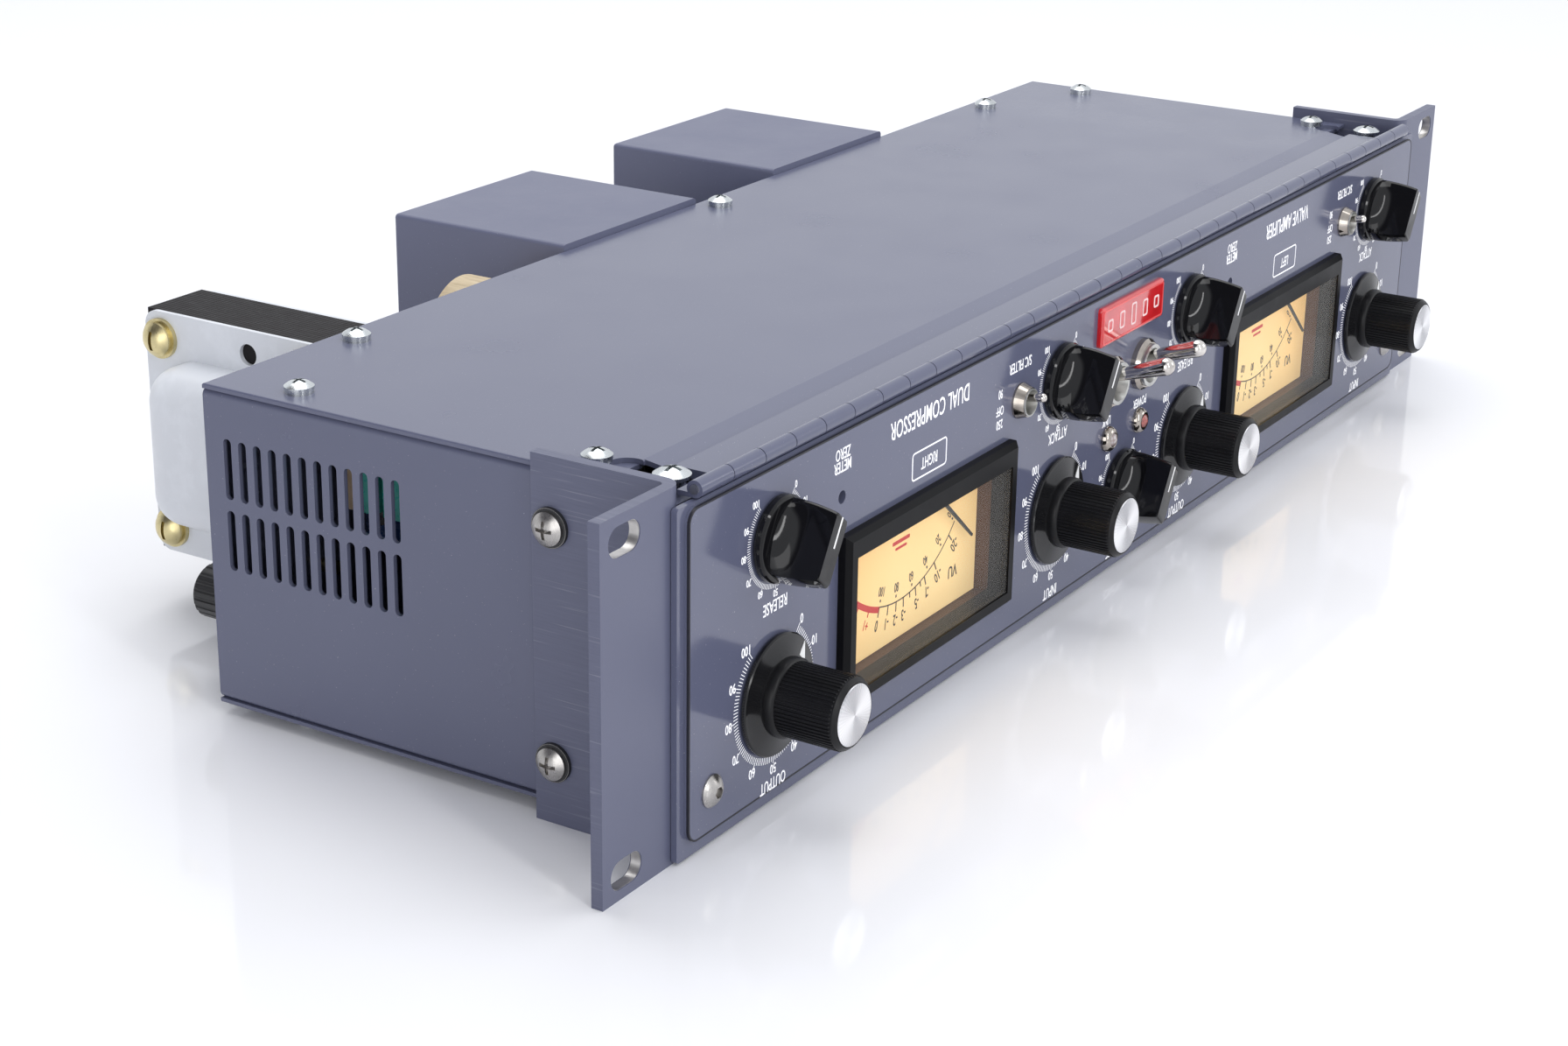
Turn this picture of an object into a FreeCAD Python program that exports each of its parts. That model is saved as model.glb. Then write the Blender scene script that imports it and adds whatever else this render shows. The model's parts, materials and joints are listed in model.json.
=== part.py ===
import FreeCAD, Part
import math
import os

os.makedirs("parts", exist_ok=True)

# Two-channel valve compressor for a 19 inch rack, two units high, in millimetres.
# It lies inverted: its lettering reads the right way up after half a turn about Y.
# X runs along the front, +Y goes back from the front, +Z is up as it lies.
# The origin is the middle of the four rack slots, on the front face of the ears.

# ---- Driving sizes -------------------------------------------------------------

rack_width = 482.6
rack_height = 88.1
slot_spacing_x = 465.1
slot_spacing_z = 76.2
slot_height = 7.0
slot_length = 11.5

ear_stock = 3.0
ear_bend = 4.5
ear_leg = 38.3
ear_screw_y = 33.0
ear_screw_inset = 15.4

case_width = 421.0
case_depth = 136.5
case_height = 81.8
case_lift = 3.0
sheet = 1.2
flange = 15.0
case_front = 2.0
sill_depth = 9.0

vent_rows = 2
vent_columns = 12
vent_width = 2.4
vent_height = 15.2
vent_pitch = 4.6
vent_row_pitch = 18.0
vent_last_y = 129.6
vent_top_drop = 12.4

cover_screw_back = 7.0
cover_screw_side = 8.0
cover_screw_pitch = 163.0
cover_screw_front_y = 28.4
cover_screw_rear_y = 113.5
corner_screw_y = 9.0

step_depth = 0.9
step_start = 20.0
step_end = 14.5
step_front = 4.0
step_half_width = 196.0

hinge_length = 417.0
knuckle_count = 33
knuckle_radius = 2.0
knuckle_gap = 0.3
leaf_stock = 1.1
leaf_depth = 13.6
door_leaf_depth = 10.0
pin_radius = 1.1
running_fit = 0.05

door_width = 431.8
door_stock = 1.5
door_gap = 0.2
door_lift = 0.6
face_width = 426.0
face_stock = 1.2
face_margin_low = 3.6
face_margin_high = 0.8
face_corner = 3.5

channel_pitch = 218.5
outer_knob_x = 178.5
output_knob_z = 28.2
input_knob_z = 30.0
bar_knob_z = 66.0
centre_knob_z = 25.4
filter_x = 62.5
filter_z = 66.5
toggle_x = 10.0
toggle_z = 57.6
lamp_x = 9.7
lamp_z = 41.3
zero_x = 150.2
zero_z = 66.9
zero_hole = 1.6
door_screw_x = 204.0
door_screw_z = 14.2
badge_width = 38.5
badge_height = 11.0
badge_thick = 1.4
badge_z = 74.6

skirt_radius = 14.6
round_length = 20.8
grip_radius = 8.9
cap_radius = 7.3
bar_radius = 10.2
bar_length = 14.4
bar_tip_length = 17.0
bar_tip_width = 5.4
bar_root_width = 8.6
knob_gap = 0.4
shaft_radius = 3.0
pot_radius = 8.5
pot_depth = 12.0
bushing_wall = 0.6
pot_nut_rim = 2.0
nut_clearance = 1.0
pointer_turn = 30.0

meter_border_x = 3.7
meter_border_z = 4.8
meter_z = 35.5
meter_proud = 3.2
window_width = 76.6
window_height = 34.4
window_z = 34.5
meter_tube = 0.8
meter_case_depth = 26.0
meter_case_wall = 1.5
scale_y = 4.2
needle_pivot_z = 62.0
needle_length = 44.0
needle_y = 2.0
needle_rest = 49.0

lever_pivot_y = 1.0
big_lever_angle = 19.5
big_lever_length = 21.4
big_lever_tip = 2.45
big_bushing = 5.9
big_nut = 7.2
small_lever_angle = 10.0
small_lever_length = 10.4
small_lever_tip = 1.2
small_bushing = 3.65
small_nut = 4.7
small_nut_length = 2.9

deck_z = 76.5
deck_front = 44.0
board_gap = 5.0
board_stock = 1.6
board_half = 192.0
tube_radius = 10.4
tube_length = 45.0
tube_pitch = 36.0
tube_y = 96.0

power_x = -154.8
core_stack = 20.0
core_depth = 60.0
core_height = 66.0
core_window = 10.0
core_window_height = 42.0
core_z = 49.0
core_gap = 1.5
bell_stock = 1.2
bell_bulge = 15.0
bell_round = 9.0
foot_width = 12.0

can_width = 65.0
can_depth = 60.0
can_height = 66.0
can_stock = 1.5
can_top = 86.5
can_x = (-34.9, 72.4)

inlet_x = -100.0
inlet_z = 27.0
fuse_x = -195.0
fuse_z = 24.0
capacitor_x = -88.0
capacitor_z = 65.0
capacitor_radius = 14.5
capacitor_reach = 20.5
xlr_columns = (128.0, 168.0)
xlr_input_z = 22.0
xlr_output_z = 56.0

# ---- Values that follow ----------------------------------------------------------

base = -rack_height / 2
half_case = case_width / 2
inner_half = half_case - sheet
case_low = base + case_lift
case_top = case_low + case_height
shell_low = case_low + sheet
shell_top = case_top - sheet
ear_bend_centre = half_case + ear_bend
step_top = case_top - step_depth
leaf_top = step_top + leaf_stock
pin_z = leaf_top - leaf_stock + knuckle_radius
door_back = -door_gap
door_front = door_back - door_stock
face_front = door_front - face_stock
pin_y = door_back + leaf_stock - knuckle_radius
door_low = base + door_lift
door_top = pin_z - knuckle_radius - knuckle_gap
face_low = door_low + face_margin_low
face_top = door_top - face_margin_high
inner_knob_x = channel_pitch - outer_knob_x
channel_x = (-channel_pitch / 2, channel_pitch / 2)
knob_seat = face_front - knob_gap
bushing_radius = shaft_radius + bushing_wall
pot_nut_radius = bushing_radius + pot_nut_rim
knob_recess = pot_nut_radius + nut_clearance
meter_width = window_width + 2 * meter_border_x
meter_height = window_height + 2 * meter_border_z
deck_under = base + deck_z
board_top = deck_under - board_gap
board_low = board_top - board_stock

X_AXIS = FreeCAD.Vector(1, 0, 0)
Y_AXIS = FreeCAD.Vector(0, 1, 0)
Z_AXIS = FreeCAD.Vector(0, 0, 1)


# ---- Shape helpers ---------------------------------------------------------------

def block(x0, x1, y0, y1, z0, z1):
    return Part.makeBox(x1 - x0, y1 - y0, z1 - z0, FreeCAD.Vector(x0, y0, z0))


def rod(centre, direction, radius, length):
    return Part.makeCylinder(radius, length, FreeCAD.Vector(*centre), direction)


def front_rod(x, z, radius, y0, y1):
    return rod((x, y0, z), Y_AXIS, radius, y1 - y0)


def joined(shapes):
    result = shapes[0]
    if len(shapes) > 1:
        result = shapes[0].fuse(shapes[1:])
    return result.removeSplitter()


def edges_along(shape, axis):
    found = []
    for edge in shape.Edges:
        if edge.Curve.TypeId != "Part::GeomLine":
            continue
        if abs(abs(edge.tangentAt(edge.FirstParameter).dot(axis)) - 1) < 1e-6:
            found.append(edge)
    return found


def rounded_block(x0, x1, y0, y1, z0, z1, radius, axis=Y_AXIS):
    solid = block(x0, x1, y0, y1, z0, z1)
    return solid.makeFillet(radius, edges_along(solid, axis))


def aimed(position, direction):
    turn = FreeCAD.Rotation(Z_AXIS, direction)
    return FreeCAD.Placement(FreeCAD.Vector(*position), turn)


def lathed(profile, position, direction):
    # The profile runs from the axis out and back as (radius, height) points.
    # A third value marks a point that an arc passes through.
    points = [FreeCAD.Vector(entry[0], 0, entry[1]) for entry in profile]
    edges = []
    index = 0
    count = len(profile)
    while index < count:
        after = (index + 1) % count
        if len(profile[after]) == 3:
            end = (index + 2) % count
            edges.append(Part.Arc(points[index], points[after], points[end]).toShape())
            index += 2
        else:
            edges.append(Part.makeLine(points[index], points[after]))
            index += 1
    face = Part.Face(Part.Wire(edges))
    solid = face.revolve(FreeCAD.Vector(0, 0, 0), Z_AXIS, 360)
    if solid.Volume < 0:
        solid.reverse()
    solid.Placement = aimed(position, direction)
    return solid


def dome(radius, low, high):
    # Points of a spherical cap whose centre is on the axis, from its rim to its pole.
    rise = high - low
    sphere = (radius ** 2 + rise ** 2) / (2 * abs(rise))
    half_turn = math.asin(min(1.0, radius / sphere)) / 2
    if abs(rise) > radius:
        half_turn = math.pi / 2 - half_turn
    sign = 1 if rise > 0 else -1
    middle = (sphere * math.sin(half_turn), high - sign * sphere * (1 - math.cos(half_turn)), "arc")
    return [(radius, low), middle, (0, high)]


def mirrored_x(shape):
    return shape.mirror(FreeCAD.Vector(0, 0, 0), X_AXIS)


def hexagon(x, z, radius, y0, y1):
    corners = []
    for index in range(7):
        angle = math.radians(60 * index)
        corners.append(FreeCAD.Vector(x + radius * math.cos(angle), y0, z + radius * math.sin(angle)))
    return Part.Face(Part.makePolygon(corners)).extrude(FreeCAD.Vector(0, y1 - y0, 0))


def save(name, shapes):
    solids = []
    for shape in shapes:
        solids.extend(shape.Solids)
    part = solids[0] if len(solids) == 1 else Part.makeCompound(solids)
    part.exportStep("parts/" + name + ".step")
    print(name, len(solids), round(part.Volume))


# ---- Fasteners -------------------------------------------------------------------

def pan_screw(position, direction, head_radius, head_height, shank_radius, length, cross=True):
    rim = head_height * 0.35
    profile = [(0, -length), (shank_radius, -length), (shank_radius, 0), (head_radius, 0),
               *dome(head_radius, rim, head_height)]
    solid = lathed(profile, (0, 0, 0), Z_AXIS)
    depth = head_height * 0.55
    reach = head_radius * 0.55
    slot = head_radius * 0.11
    top = head_height
    recess = [block(-reach, reach, -slot, slot, top - depth, top + 1)]
    if cross:
        recess.append(block(-slot, slot, -reach, reach, top - depth, top + 1))
    solid = solid.cut(recess)
    solid.Placement = aimed(position, direction)
    return solid


def washer(position, direction, radius, hole, thick):
    ring = [(hole, 0), (radius, 0), (radius, thick), (hole, thick)]
    return lathed(ring, position, direction)


cover_washer = 0.8
cover_head = case_lift - cover_washer
cover_head_radius = 3.6
cover_shank = 1.7
cover_screw_length = 6.0


def cover_screw_places():
    back_y = case_depth - cover_screw_back
    side_x = half_case - cover_screw_side
    places = [(index * cover_screw_pitch, back_y) for index in (-1, 0, 1)]
    for y in (cover_screw_rear_y, cover_screw_front_y):
        places += [(-side_x, y), (side_x, y)]
    return places


corner_screw_x = half_case - cover_screw_side - 0.5
corner_tab_top = case_top - 3.2


def make_cover_screws():
    shapes = []
    for x, y in cover_screw_places():
        for side, level in ((1, case_top), (-1, case_low)):
            up = Z_AXIS * side
            shapes.append(washer((x, y, level), up, cover_head_radius - 0.2, cover_shank, cover_washer))
            seat = level + side * cover_washer
            reach = cover_screw_length + cover_washer
            shapes.append(pan_screw((x, y, seat), up, cover_head_radius, cover_head, cover_shank, reach))
    for side in (-1, 1):
        spot = (side * corner_screw_x, corner_screw_y)
        shapes.append(washer((*spot, corner_tab_top), Z_AXIS, 2.6, cover_shank, case_top - corner_tab_top))
        shapes.append(pan_screw((*spot, case_top), Z_AXIS, 4.3, 2.4, cover_shank, 9.0))
    return shapes


# ---- Case ------------------------------------------------------------------------

def vents(side):
    tools = []
    for row in range(vent_rows):
        top = shell_top - vent_top_drop + 1.0 - row * vent_row_pitch
        for column in range(vent_columns):
            y = vent_last_y - column * vent_pitch
            x0 = side * half_case - 3
            tools.append(rounded_block(x0, x0 + 6, y - vent_width / 2, y + vent_width / 2,
                                       top - vent_height, top, vent_width / 2 - 0.05, X_AXIS))
    return tools


def make_case_shell():
    outer = block(-half_case, half_case, case_front, case_depth, shell_low, shell_top)
    outer = outer.makeFillet(1.8, edges_along(outer, Y_AXIS))
    hollow = block(-inner_half, inner_half, case_front - 1, case_depth - sheet,
                   shell_low + sheet, shell_top - sheet)
    window = block(-half_case + flange, half_case - flange, case_front - 1, case_depth - flange,
                   shell_low - 1, shell_top + 1)
    shell = outer.cut([hollow, window])
    above = shell_top - 2 * sheet
    front_gap = block(-half_case, half_case, case_front - 1, cover_screw_front_y - 7, above, shell_top + 1)
    shell = shell.cut(front_gap)
    sill = block(-inner_half, inner_half, case_front + 2, case_front + 2 + sill_depth,
                 shell_low, shell_low + sheet)
    tabs = []
    for side in (-1, 1):
        tab = block(corner_screw_x - 6, inner_half, case_front + 1.2, corner_screw_y + 7,
                    corner_tab_top - sheet, corner_tab_top)
        leg = block(inner_half - sheet, inner_half, case_front + 1.2, corner_screw_y + 7,
                    corner_tab_top - 12, corner_tab_top)
        tabs += [tab.fuse(leg)] if side == 1 else [mirrored_x(tab.fuse(leg))]
    shell = joined([shell, sill] + tabs)
    holes = []
    for x, y in cover_screw_places():
        holes.append(rod((x, y, base - 1), Z_AXIS, cover_shank, rack_height + 2))
    for side in (-1, 1):
        tab_spot = (side * corner_screw_x, corner_screw_y, corner_tab_top - 4)
        holes.append(rod(tab_spot, Z_AXIS, cover_shank, 6))
        for z in ear_screw_heights():
            holes.append(rod((side * half_case - 6, ear_screw_y, z), X_AXIS, ear_shank, 12))
        holes += vents(side)
    return shell.cut(holes + rear_wall_holes())


def make_upper_cover():
    main = block(-half_case, half_case, step_start, case_depth, case_top - sheet, case_top)
    main = main.makeFillet(0.5, [e for e in main.Edges if e.BoundBox.ZMin > case_top - 0.01])
    strip = rounded_block(-step_half_width, step_half_width, step_front, step_end,
                          step_top - sheet, step_top, 0.3, Z_AXIS)
    run = []
    for y, z in ((step_end - 0.5, step_top), (step_start + 0.5, case_top),
                 (step_start + 0.5, case_top - sheet), (step_end - 0.5, step_top - sheet)):
        run.append(FreeCAD.Vector(-step_half_width, y, z))
    slope = Part.Face(Part.makePolygon(run + run[:1])).extrude(FreeCAD.Vector(2 * step_half_width, 0, 0))
    cover = joined([main, strip, slope])
    tools = [rod((x, y, case_top - 3), Z_AXIS, cover_shank, 6) for x, y in cover_screw_places()]
    for side in (-1, 1):
        tools.append(rod((side * (corner_screw_x - 1), step_start + 1.5, case_top - 4), Z_AXIS, 4.5, 8))
    return cover.cut(tools)


def make_lower_cover():
    plate = block(-half_case, half_case, case_front, case_depth, case_low, case_low + sheet)
    plate = plate.makeFillet(0.5, [e for e in plate.Edges if e.BoundBox.ZMax < case_low + 0.01])
    return plate.cut([rod((x, y, case_low - 3), Z_AXIS, cover_shank, 6) for x, y in cover_screw_places()])


# ---- Ears ------------------------------------------------------------------------

ear_shank = 2.0
ear_head_radius = 3.9
ear_head = 2.3
ear_washer = 0.9


def ear_screw_heights():
    low = base + ear_screw_inset
    return (low, low + 56.3)


def make_ear(side):
    low = base
    high = base + rack_height
    wing = block(ear_bend_centre, rack_width / 2, 0, ear_stock, low, high)
    leg = block(half_case, half_case + ear_stock, ear_bend, ear_leg, low, high)
    outer = rod((ear_bend_centre, ear_bend, low), Z_AXIS, ear_bend, rack_height)
    inner = rod((ear_bend_centre, ear_bend, low), Z_AXIS, ear_bend - ear_stock, rack_height)
    corner = block(half_case, ear_bend_centre, 0, ear_bend, low, high)
    bend = outer.cut(inner).common(corner)
    ear = joined([wing, bend, leg])
    tools = []
    for z in (-slot_spacing_z / 2, slot_spacing_z / 2):
        x = slot_spacing_x / 2
        tools.append(rounded_block(x - slot_length / 2, x + slot_length / 2, -1, ear_stock + 1,
                                   z - slot_height / 2, z + slot_height / 2, slot_height / 2 - 0.02))
    for z in ear_screw_heights():
        tools.append(rod((half_case - 1, ear_screw_y, z), X_AXIS, ear_shank, ear_stock + 2))
    ear = ear.cut(tools)
    return ear if side == 1 else mirrored_x(ear)


def make_ear_screws():
    shapes = []
    for side in (-1, 1):
        out = X_AXIS * side
        face = side * (half_case + ear_stock)
        for z in ear_screw_heights():
            shapes.append(washer((face, ear_screw_y, z), out, ear_head_radius + 0.7, ear_shank, ear_washer))
            seat = (face + side * ear_washer, ear_screw_y, z)
            shapes.append(pan_screw(seat, out, ear_head_radius, ear_head, ear_shank, 9.0))
    return shapes


# ---- Piano hinge -----------------------------------------------------------------

knuckle_pitch = hinge_length / knuckle_count
end_strip = 2.2


def knuckle_span(index):
    start = -hinge_length / 2 + index * knuckle_pitch
    return start + knuckle_gap / 2, start + knuckle_pitch - knuckle_gap / 2


def barrel(index, bore):
    start, end = knuckle_span(index)
    tube = rod((start, pin_y, pin_z), X_AXIS, knuckle_radius, end - start)
    return tube, rod((start - 1, pin_y, pin_z), X_AXIS, bore, end - start + 2)


def make_fixed_leaf():
    half = step_half_width
    edge = pin_y + knuckle_radius + knuckle_gap
    reach = hinge_length / 2 - knuckle_gap / 2
    solids = [block(-half, half, edge, pin_y + leaf_depth, leaf_top - leaf_stock, leaf_top),
              block(-reach, reach, edge, edge + end_strip, leaf_top - leaf_stock, leaf_top)]
    bores = []
    for index in range(0, knuckle_count, 2):
        start, end = knuckle_span(index)
        tube, bore = barrel(index, pin_radius)
        low = max(start, -half) if index else start
        high = min(end, half) if index < knuckle_count - 1 else end
        solids.append(tube)
        solids.append(block(low, high, pin_y, edge + 0.5, leaf_top - leaf_stock, leaf_top))
        bores.append(bore)
    return joined(solids).cut(bores)


def make_door_leaf():
    half = hinge_length / 2 - knuckle_pitch
    low = pin_z - door_leaf_depth
    top = pin_z - knuckle_radius - knuckle_gap
    solids = [block(-half, half, door_back, door_back + leaf_stock, low, top)]
    bores = []
    for index in range(1, knuckle_count, 2):
        start, end = knuckle_span(index)
        tube, bore = barrel(index, pin_radius + running_fit)
        solids.append(tube)
        solids.append(block(start, end, door_back, door_back + leaf_stock, top - 0.5, pin_z))
        bores.append(bore)
    return joined(solids).cut(bores)


def make_hinge_pin():
    length = hinge_length + 0.6
    return rod((-length / 2, pin_y, pin_z), X_AXIS, pin_radius, length)


# ---- Door ------------------------------------------------------------------------

def round_knob_places():
    output_z = base + output_knob_z
    input_z = base + input_knob_z
    return {"right_output": (-outer_knob_x, output_z), "right_input": (-inner_knob_x, input_z),
            "left_output": (inner_knob_x, output_z), "left_input": (outer_knob_x, input_z)}


def bar_knob_places():
    z = base + bar_knob_z
    return {"right_release": (-outer_knob_x, z), "right_attack": (-inner_knob_x, z),
            "left_release": (inner_knob_x, z), "left_attack": (outer_knob_x, z),
            "balance": (0.0, base + centre_knob_z)}


def filter_places():
    z = base + filter_z
    return {"right_filter": (-filter_x, z), "left_filter": (channel_pitch - filter_x, z)}


def toggle_places():
    z = base + toggle_z
    return {"link": (-toggle_x, z), "power": (toggle_x, z)}


def lamp_places():
    z = base + lamp_z
    return [(-lamp_x, z), (lamp_x, z)]


def zero_places():
    z = base + zero_z
    return [(-zero_x, z), (channel_pitch - zero_x, z)]


window_mid = base + window_z
cutout_clearance = 0.2
lamp_radius = 3.6
lamp_lens = 2.0
lamp_stem = 2.6
door_shank = 2.0
door_head = 3.9
door_head_rim = 0.4
door_head_height = 2.3
door_socket = 1.45
door_screw_grip = 4.0


def door_holes():
    tools = []
    y0 = face_front - 1
    y1 = door_back + 1
    for x, z in list(round_knob_places().values()) + list(bar_knob_places().values()):
        tools.append(front_rod(x, z, bushing_radius, y0, y1))
    for x, z in filter_places().values():
        tools.append(front_rod(x, z, small_bushing, y0, y1))
    for x, z in toggle_places().values():
        tools.append(front_rod(x, z, big_bushing, y0, y1))
    for x, z in lamp_places():
        tools.append(front_rod(x, z, lamp_stem, y0, y1))
    for x, z in zero_places():
        tools.append(front_rod(x, z, zero_hole, y0, y1))
    for side in (-1, 1):
        tools.append(front_rod(side * door_screw_x, base + door_screw_z, door_shank, y0, y1))
    reach_x = window_width / 2 + meter_tube + cutout_clearance
    reach_z = window_height / 2 + meter_tube + cutout_clearance
    for x in channel_x:
        tools.append(block(x - reach_x, x + reach_x, y0, y1, window_mid - reach_z, window_mid + reach_z))
    return tools


def make_sub_panel():
    half = door_width / 2
    plate = rounded_block(-half, half, door_front, door_back, door_low, door_top, 0.8)
    return plate.cut(door_holes())


def make_faceplate():
    half = face_width / 2
    plate = rounded_block(-half, half, face_front, door_front, face_low, face_top, face_corner)
    return plate.cut(door_holes())


def make_door_screws():
    shapes = []
    for side in (-1, 1):
        seat = (side * door_screw_x, face_front, base + door_screw_z)
        reach = face_stock + door_stock + door_screw_grip
        button = lathed([(0, -reach), (door_shank, -reach), (door_shank, 0), (door_head, 0),
                         *dome(door_head, door_head_rim, door_head_height)], seat, -Y_AXIS)
        socket = hexagon(seat[0], seat[2], door_socket, face_front - 3, face_front - 0.9)
        shapes.append(button.cut(socket))
    return shapes


def make_latch_brackets():
    shapes = []
    wall = inner_half
    for side in (-1, 1):
        z = base + door_screw_z
        plate = block(door_screw_x - 6, wall, case_front + 0.4, case_front + 1.6, z - 6, z + 6)
        foot = block(wall - sheet, wall, case_front + 0.4, case_front + 13, z - 6, z + 6)
        bracket = joined([plate, foot]).cut(front_rod(door_screw_x, z, door_shank + 1.2, 0, 8))
        shapes.append(bracket if side == 1 else mirrored_x(bracket))
    return shapes


# ---- Meters ----------------------------------------------------------------------

meter_mid = base + meter_z
pivot_z = base + needle_pivot_z
case_half = window_width / 2 + meter_case_wall + 1
case_bottom_z = window_mid - window_height / 2 - 2 * meter_case_wall
case_step_z = window_mid + window_height / 2 + 3.3
bump_half = 26.0
bump_top = pivot_z + 8.0


def make_bezel(x):
    half_w = meter_width / 2
    half_h = meter_height / 2
    front = face_front - meter_proud
    frame = block(x - half_w, x + half_w, front, face_front, meter_mid - half_h, meter_mid + half_h)
    rim = [e for e in frame.Edges if e.BoundBox.YMax < front + 0.01]
    frame = frame.makeChamfer(1.3, rim)
    tube_w = window_width / 2 + meter_tube
    tube_h = window_height / 2 + meter_tube
    tube = block(x - tube_w, x + tube_w, face_front, door_back, window_mid - tube_h, window_mid + tube_h)
    hole = block(x - window_width / 2, x + window_width / 2, front - 1, door_back + 1,
                 window_mid - window_height / 2, window_mid + window_height / 2)
    return joined([frame, tube]).cut(hole)


def make_lens(x):
    fit = 0.1
    y0 = face_front - meter_proud + 0.5
    return block(x - window_width / 2 + fit, x + window_width / 2 - fit, y0, y0 + 1.5,
                 window_mid - window_height / 2 + fit, window_mid + window_height / 2 - fit)


def make_scale(x):
    half = case_half - meter_case_wall - 0.3
    plate = block(x - half, x + half, scale_y, scale_y + 0.8,
                  case_bottom_z + meter_case_wall + 0.3, case_step_z - meter_case_wall - 0.3)
    return plate


def make_meter_case(x):
    wall = meter_case_wall
    back = door_back + meter_case_depth
    body = block(x - case_half, x + case_half, door_back, back, case_bottom_z, case_step_z)
    bump = block(x - bump_half, x + bump_half, door_back, back, case_step_z - 1, bump_top)
    room = block(x - case_half + wall, x + case_half - wall, door_back - 1, back - wall,
                 case_bottom_z + wall, case_step_z - wall)
    bump_room = block(x - bump_half + wall, x + bump_half - wall, door_back - 1, back - wall,
                      case_step_z - 3 * wall, bump_top - wall)
    return joined([body, bump]).cut([room, bump_room])


def make_movement(x):
    start = scale_y + 1.6
    end = door_back + meter_case_depth - meter_case_wall
    magnet = front_rod(x, pivot_z, 6.2, start, end)
    return magnet.cut(front_rod(x, pivot_z, 1.2, start - 1, start + 5))


def make_needle(x):
    hub = front_rod(x, pivot_z, 2.4, needle_y - 0.6, needle_y + 1.0)
    stem = front_rod(x, pivot_z, 0.8, needle_y, scale_y + 4)
    points = []
    for across, down in ((-0.7, 0), (0.7, 0), (0.35, needle_length), (-0.35, needle_length)):
        points.append(FreeCAD.Vector(x + across, needle_y, pivot_z - down))
    blade = Part.Face(Part.makePolygon(points + points[:1])).extrude(FreeCAD.Vector(0, 0.5, 0))
    needle = joined([hub, stem, blade])
    needle.rotate(FreeCAD.Vector(x, 0, pivot_z), Y_AXIS, -needle_rest)
    return needle


# ---- Knobs and their controls -----------------------------------------------------

def make_shaft(x, z, reach):
    return front_rod(x, z, shaft_radius, knob_seat - reach, door_back + 4)


round_bore = 12.0
bar_bore = 9.0
nut_room = 3.4
bar_nut_room = 1.9


def make_round_knob(x, z):
    tip = round_length
    collar = grip_radius + 0.9
    cap_seat = tip - 0.9
    profile = [(0, round_bore), (0, cap_seat), (cap_radius, cap_seat), (cap_radius, tip),
               (grip_radius - 0.6, tip), (grip_radius, tip - 0.6), (grip_radius, 5.2), (collar, 4.6),
               (collar, 2.9), (skirt_radius - 0.3, 1.3), (skirt_radius, 0.9), (skirt_radius, 0),
               (knob_recess, 0), (knob_recess, nut_room), (shaft_radius, nut_room),
               (shaft_radius, round_bore)]
    knob = lathed(profile, (x, knob_seat, z), -Y_AXIS)
    cap = lathed([(0, cap_seat), (cap_radius, cap_seat), (cap_radius, tip), (cap_radius - 0.4, tip + 0.3),
                  (0, tip + 0.3)], (x, knob_seat, z), -Y_AXIS)
    return [knob, cap, make_shaft(x, z, round_bore)]


def make_bar_knob(x, z):
    disc = 2.4
    base_disc = lathed([(0, 0), (bar_radius, 0), (bar_radius, disc - 0.8), (bar_radius - 0.8, disc),
                        (0, disc)], (0, 0, 0), -Y_AXIS)
    corners = []
    for width, length, height in ((bar_root_width, 2 * bar_radius - 1.2, disc - 0.4),
                                  (bar_tip_width, bar_tip_length, bar_length)):
        wire = []
        for sx, sz in ((-1, -1), (1, -1), (1, 1), (-1, 1)):
            wire.append(FreeCAD.Vector(sx * width / 2, -height, sz * length / 2))
        corners.append(Part.makePolygon(wire + wire[:1]))
    bar = Part.makeLoft(corners, True, True)
    bar = bar.common(lathed([(0, 0), (bar_radius - 0.1, 0), (bar_radius - 0.1, bar_length + 1),
                             (0, bar_length + 1)], (0, 0, 0), -Y_AXIS))
    knob = joined([base_disc, bar])
    sockets = [front_rod(0, 0, shaft_radius, -bar_bore, 1),
               front_rod(0, 0, knob_recess, -bar_nut_room, 1)]
    knob = knob.cut(sockets)
    knob.rotate(FreeCAD.Vector(0, 0, 0), Y_AXIS, pointer_turn)
    knob.translate(FreeCAD.Vector(x, knob_seat, z))
    return [knob, make_shaft(x, z, bar_bore)]


def make_potentiometers():
    shapes = []
    nut = 1.5
    places = list(round_knob_places().values()) + list(bar_knob_places().values())
    for x, z in places:
        can = front_rod(x, z, pot_radius, door_back, door_back + pot_depth)
        bushing = front_rod(x, z, bushing_radius, face_front - nut - 0.3, door_back + 1)
        bore = front_rod(x, z, shaft_radius + running_fit, face_front - 5, door_back + 4 + 0.3)
        terminals = []
        for side in (-1, 0, 1):
            tag = x + side * 5
            terminals.append(block(tag - 1, tag + 1, door_back + 5, door_back + 5.8, z + 7, z + 13))
        shapes.append(joined([can, bushing] + terminals).cut(bore))
        shapes.append(hexagon(x, z, pot_nut_radius, face_front - nut, face_front)
                      .cut(front_rod(x, z, bushing_radius, face_front - 5, face_front + 1)))
    for x, z in zero_places():
        shapes.append(block(x - 2.4, x + 2.4, door_back, door_back + 5, z - 4.7, z + 4.7))
    return shapes


# ---- Switches and lamps -----------------------------------------------------------

def lever_seat(radius, opening, front):
    room = front_rod(0, 0, radius + 0.4, lever_pivot_y - 5.0, lever_pivot_y + radius + 0.7)
    cone = Part.makeCone(radius + 0.4, opening, -front, FreeCAD.Vector(0, 0, 0), -Y_AXIS)
    return room.fuse(cone)


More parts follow.
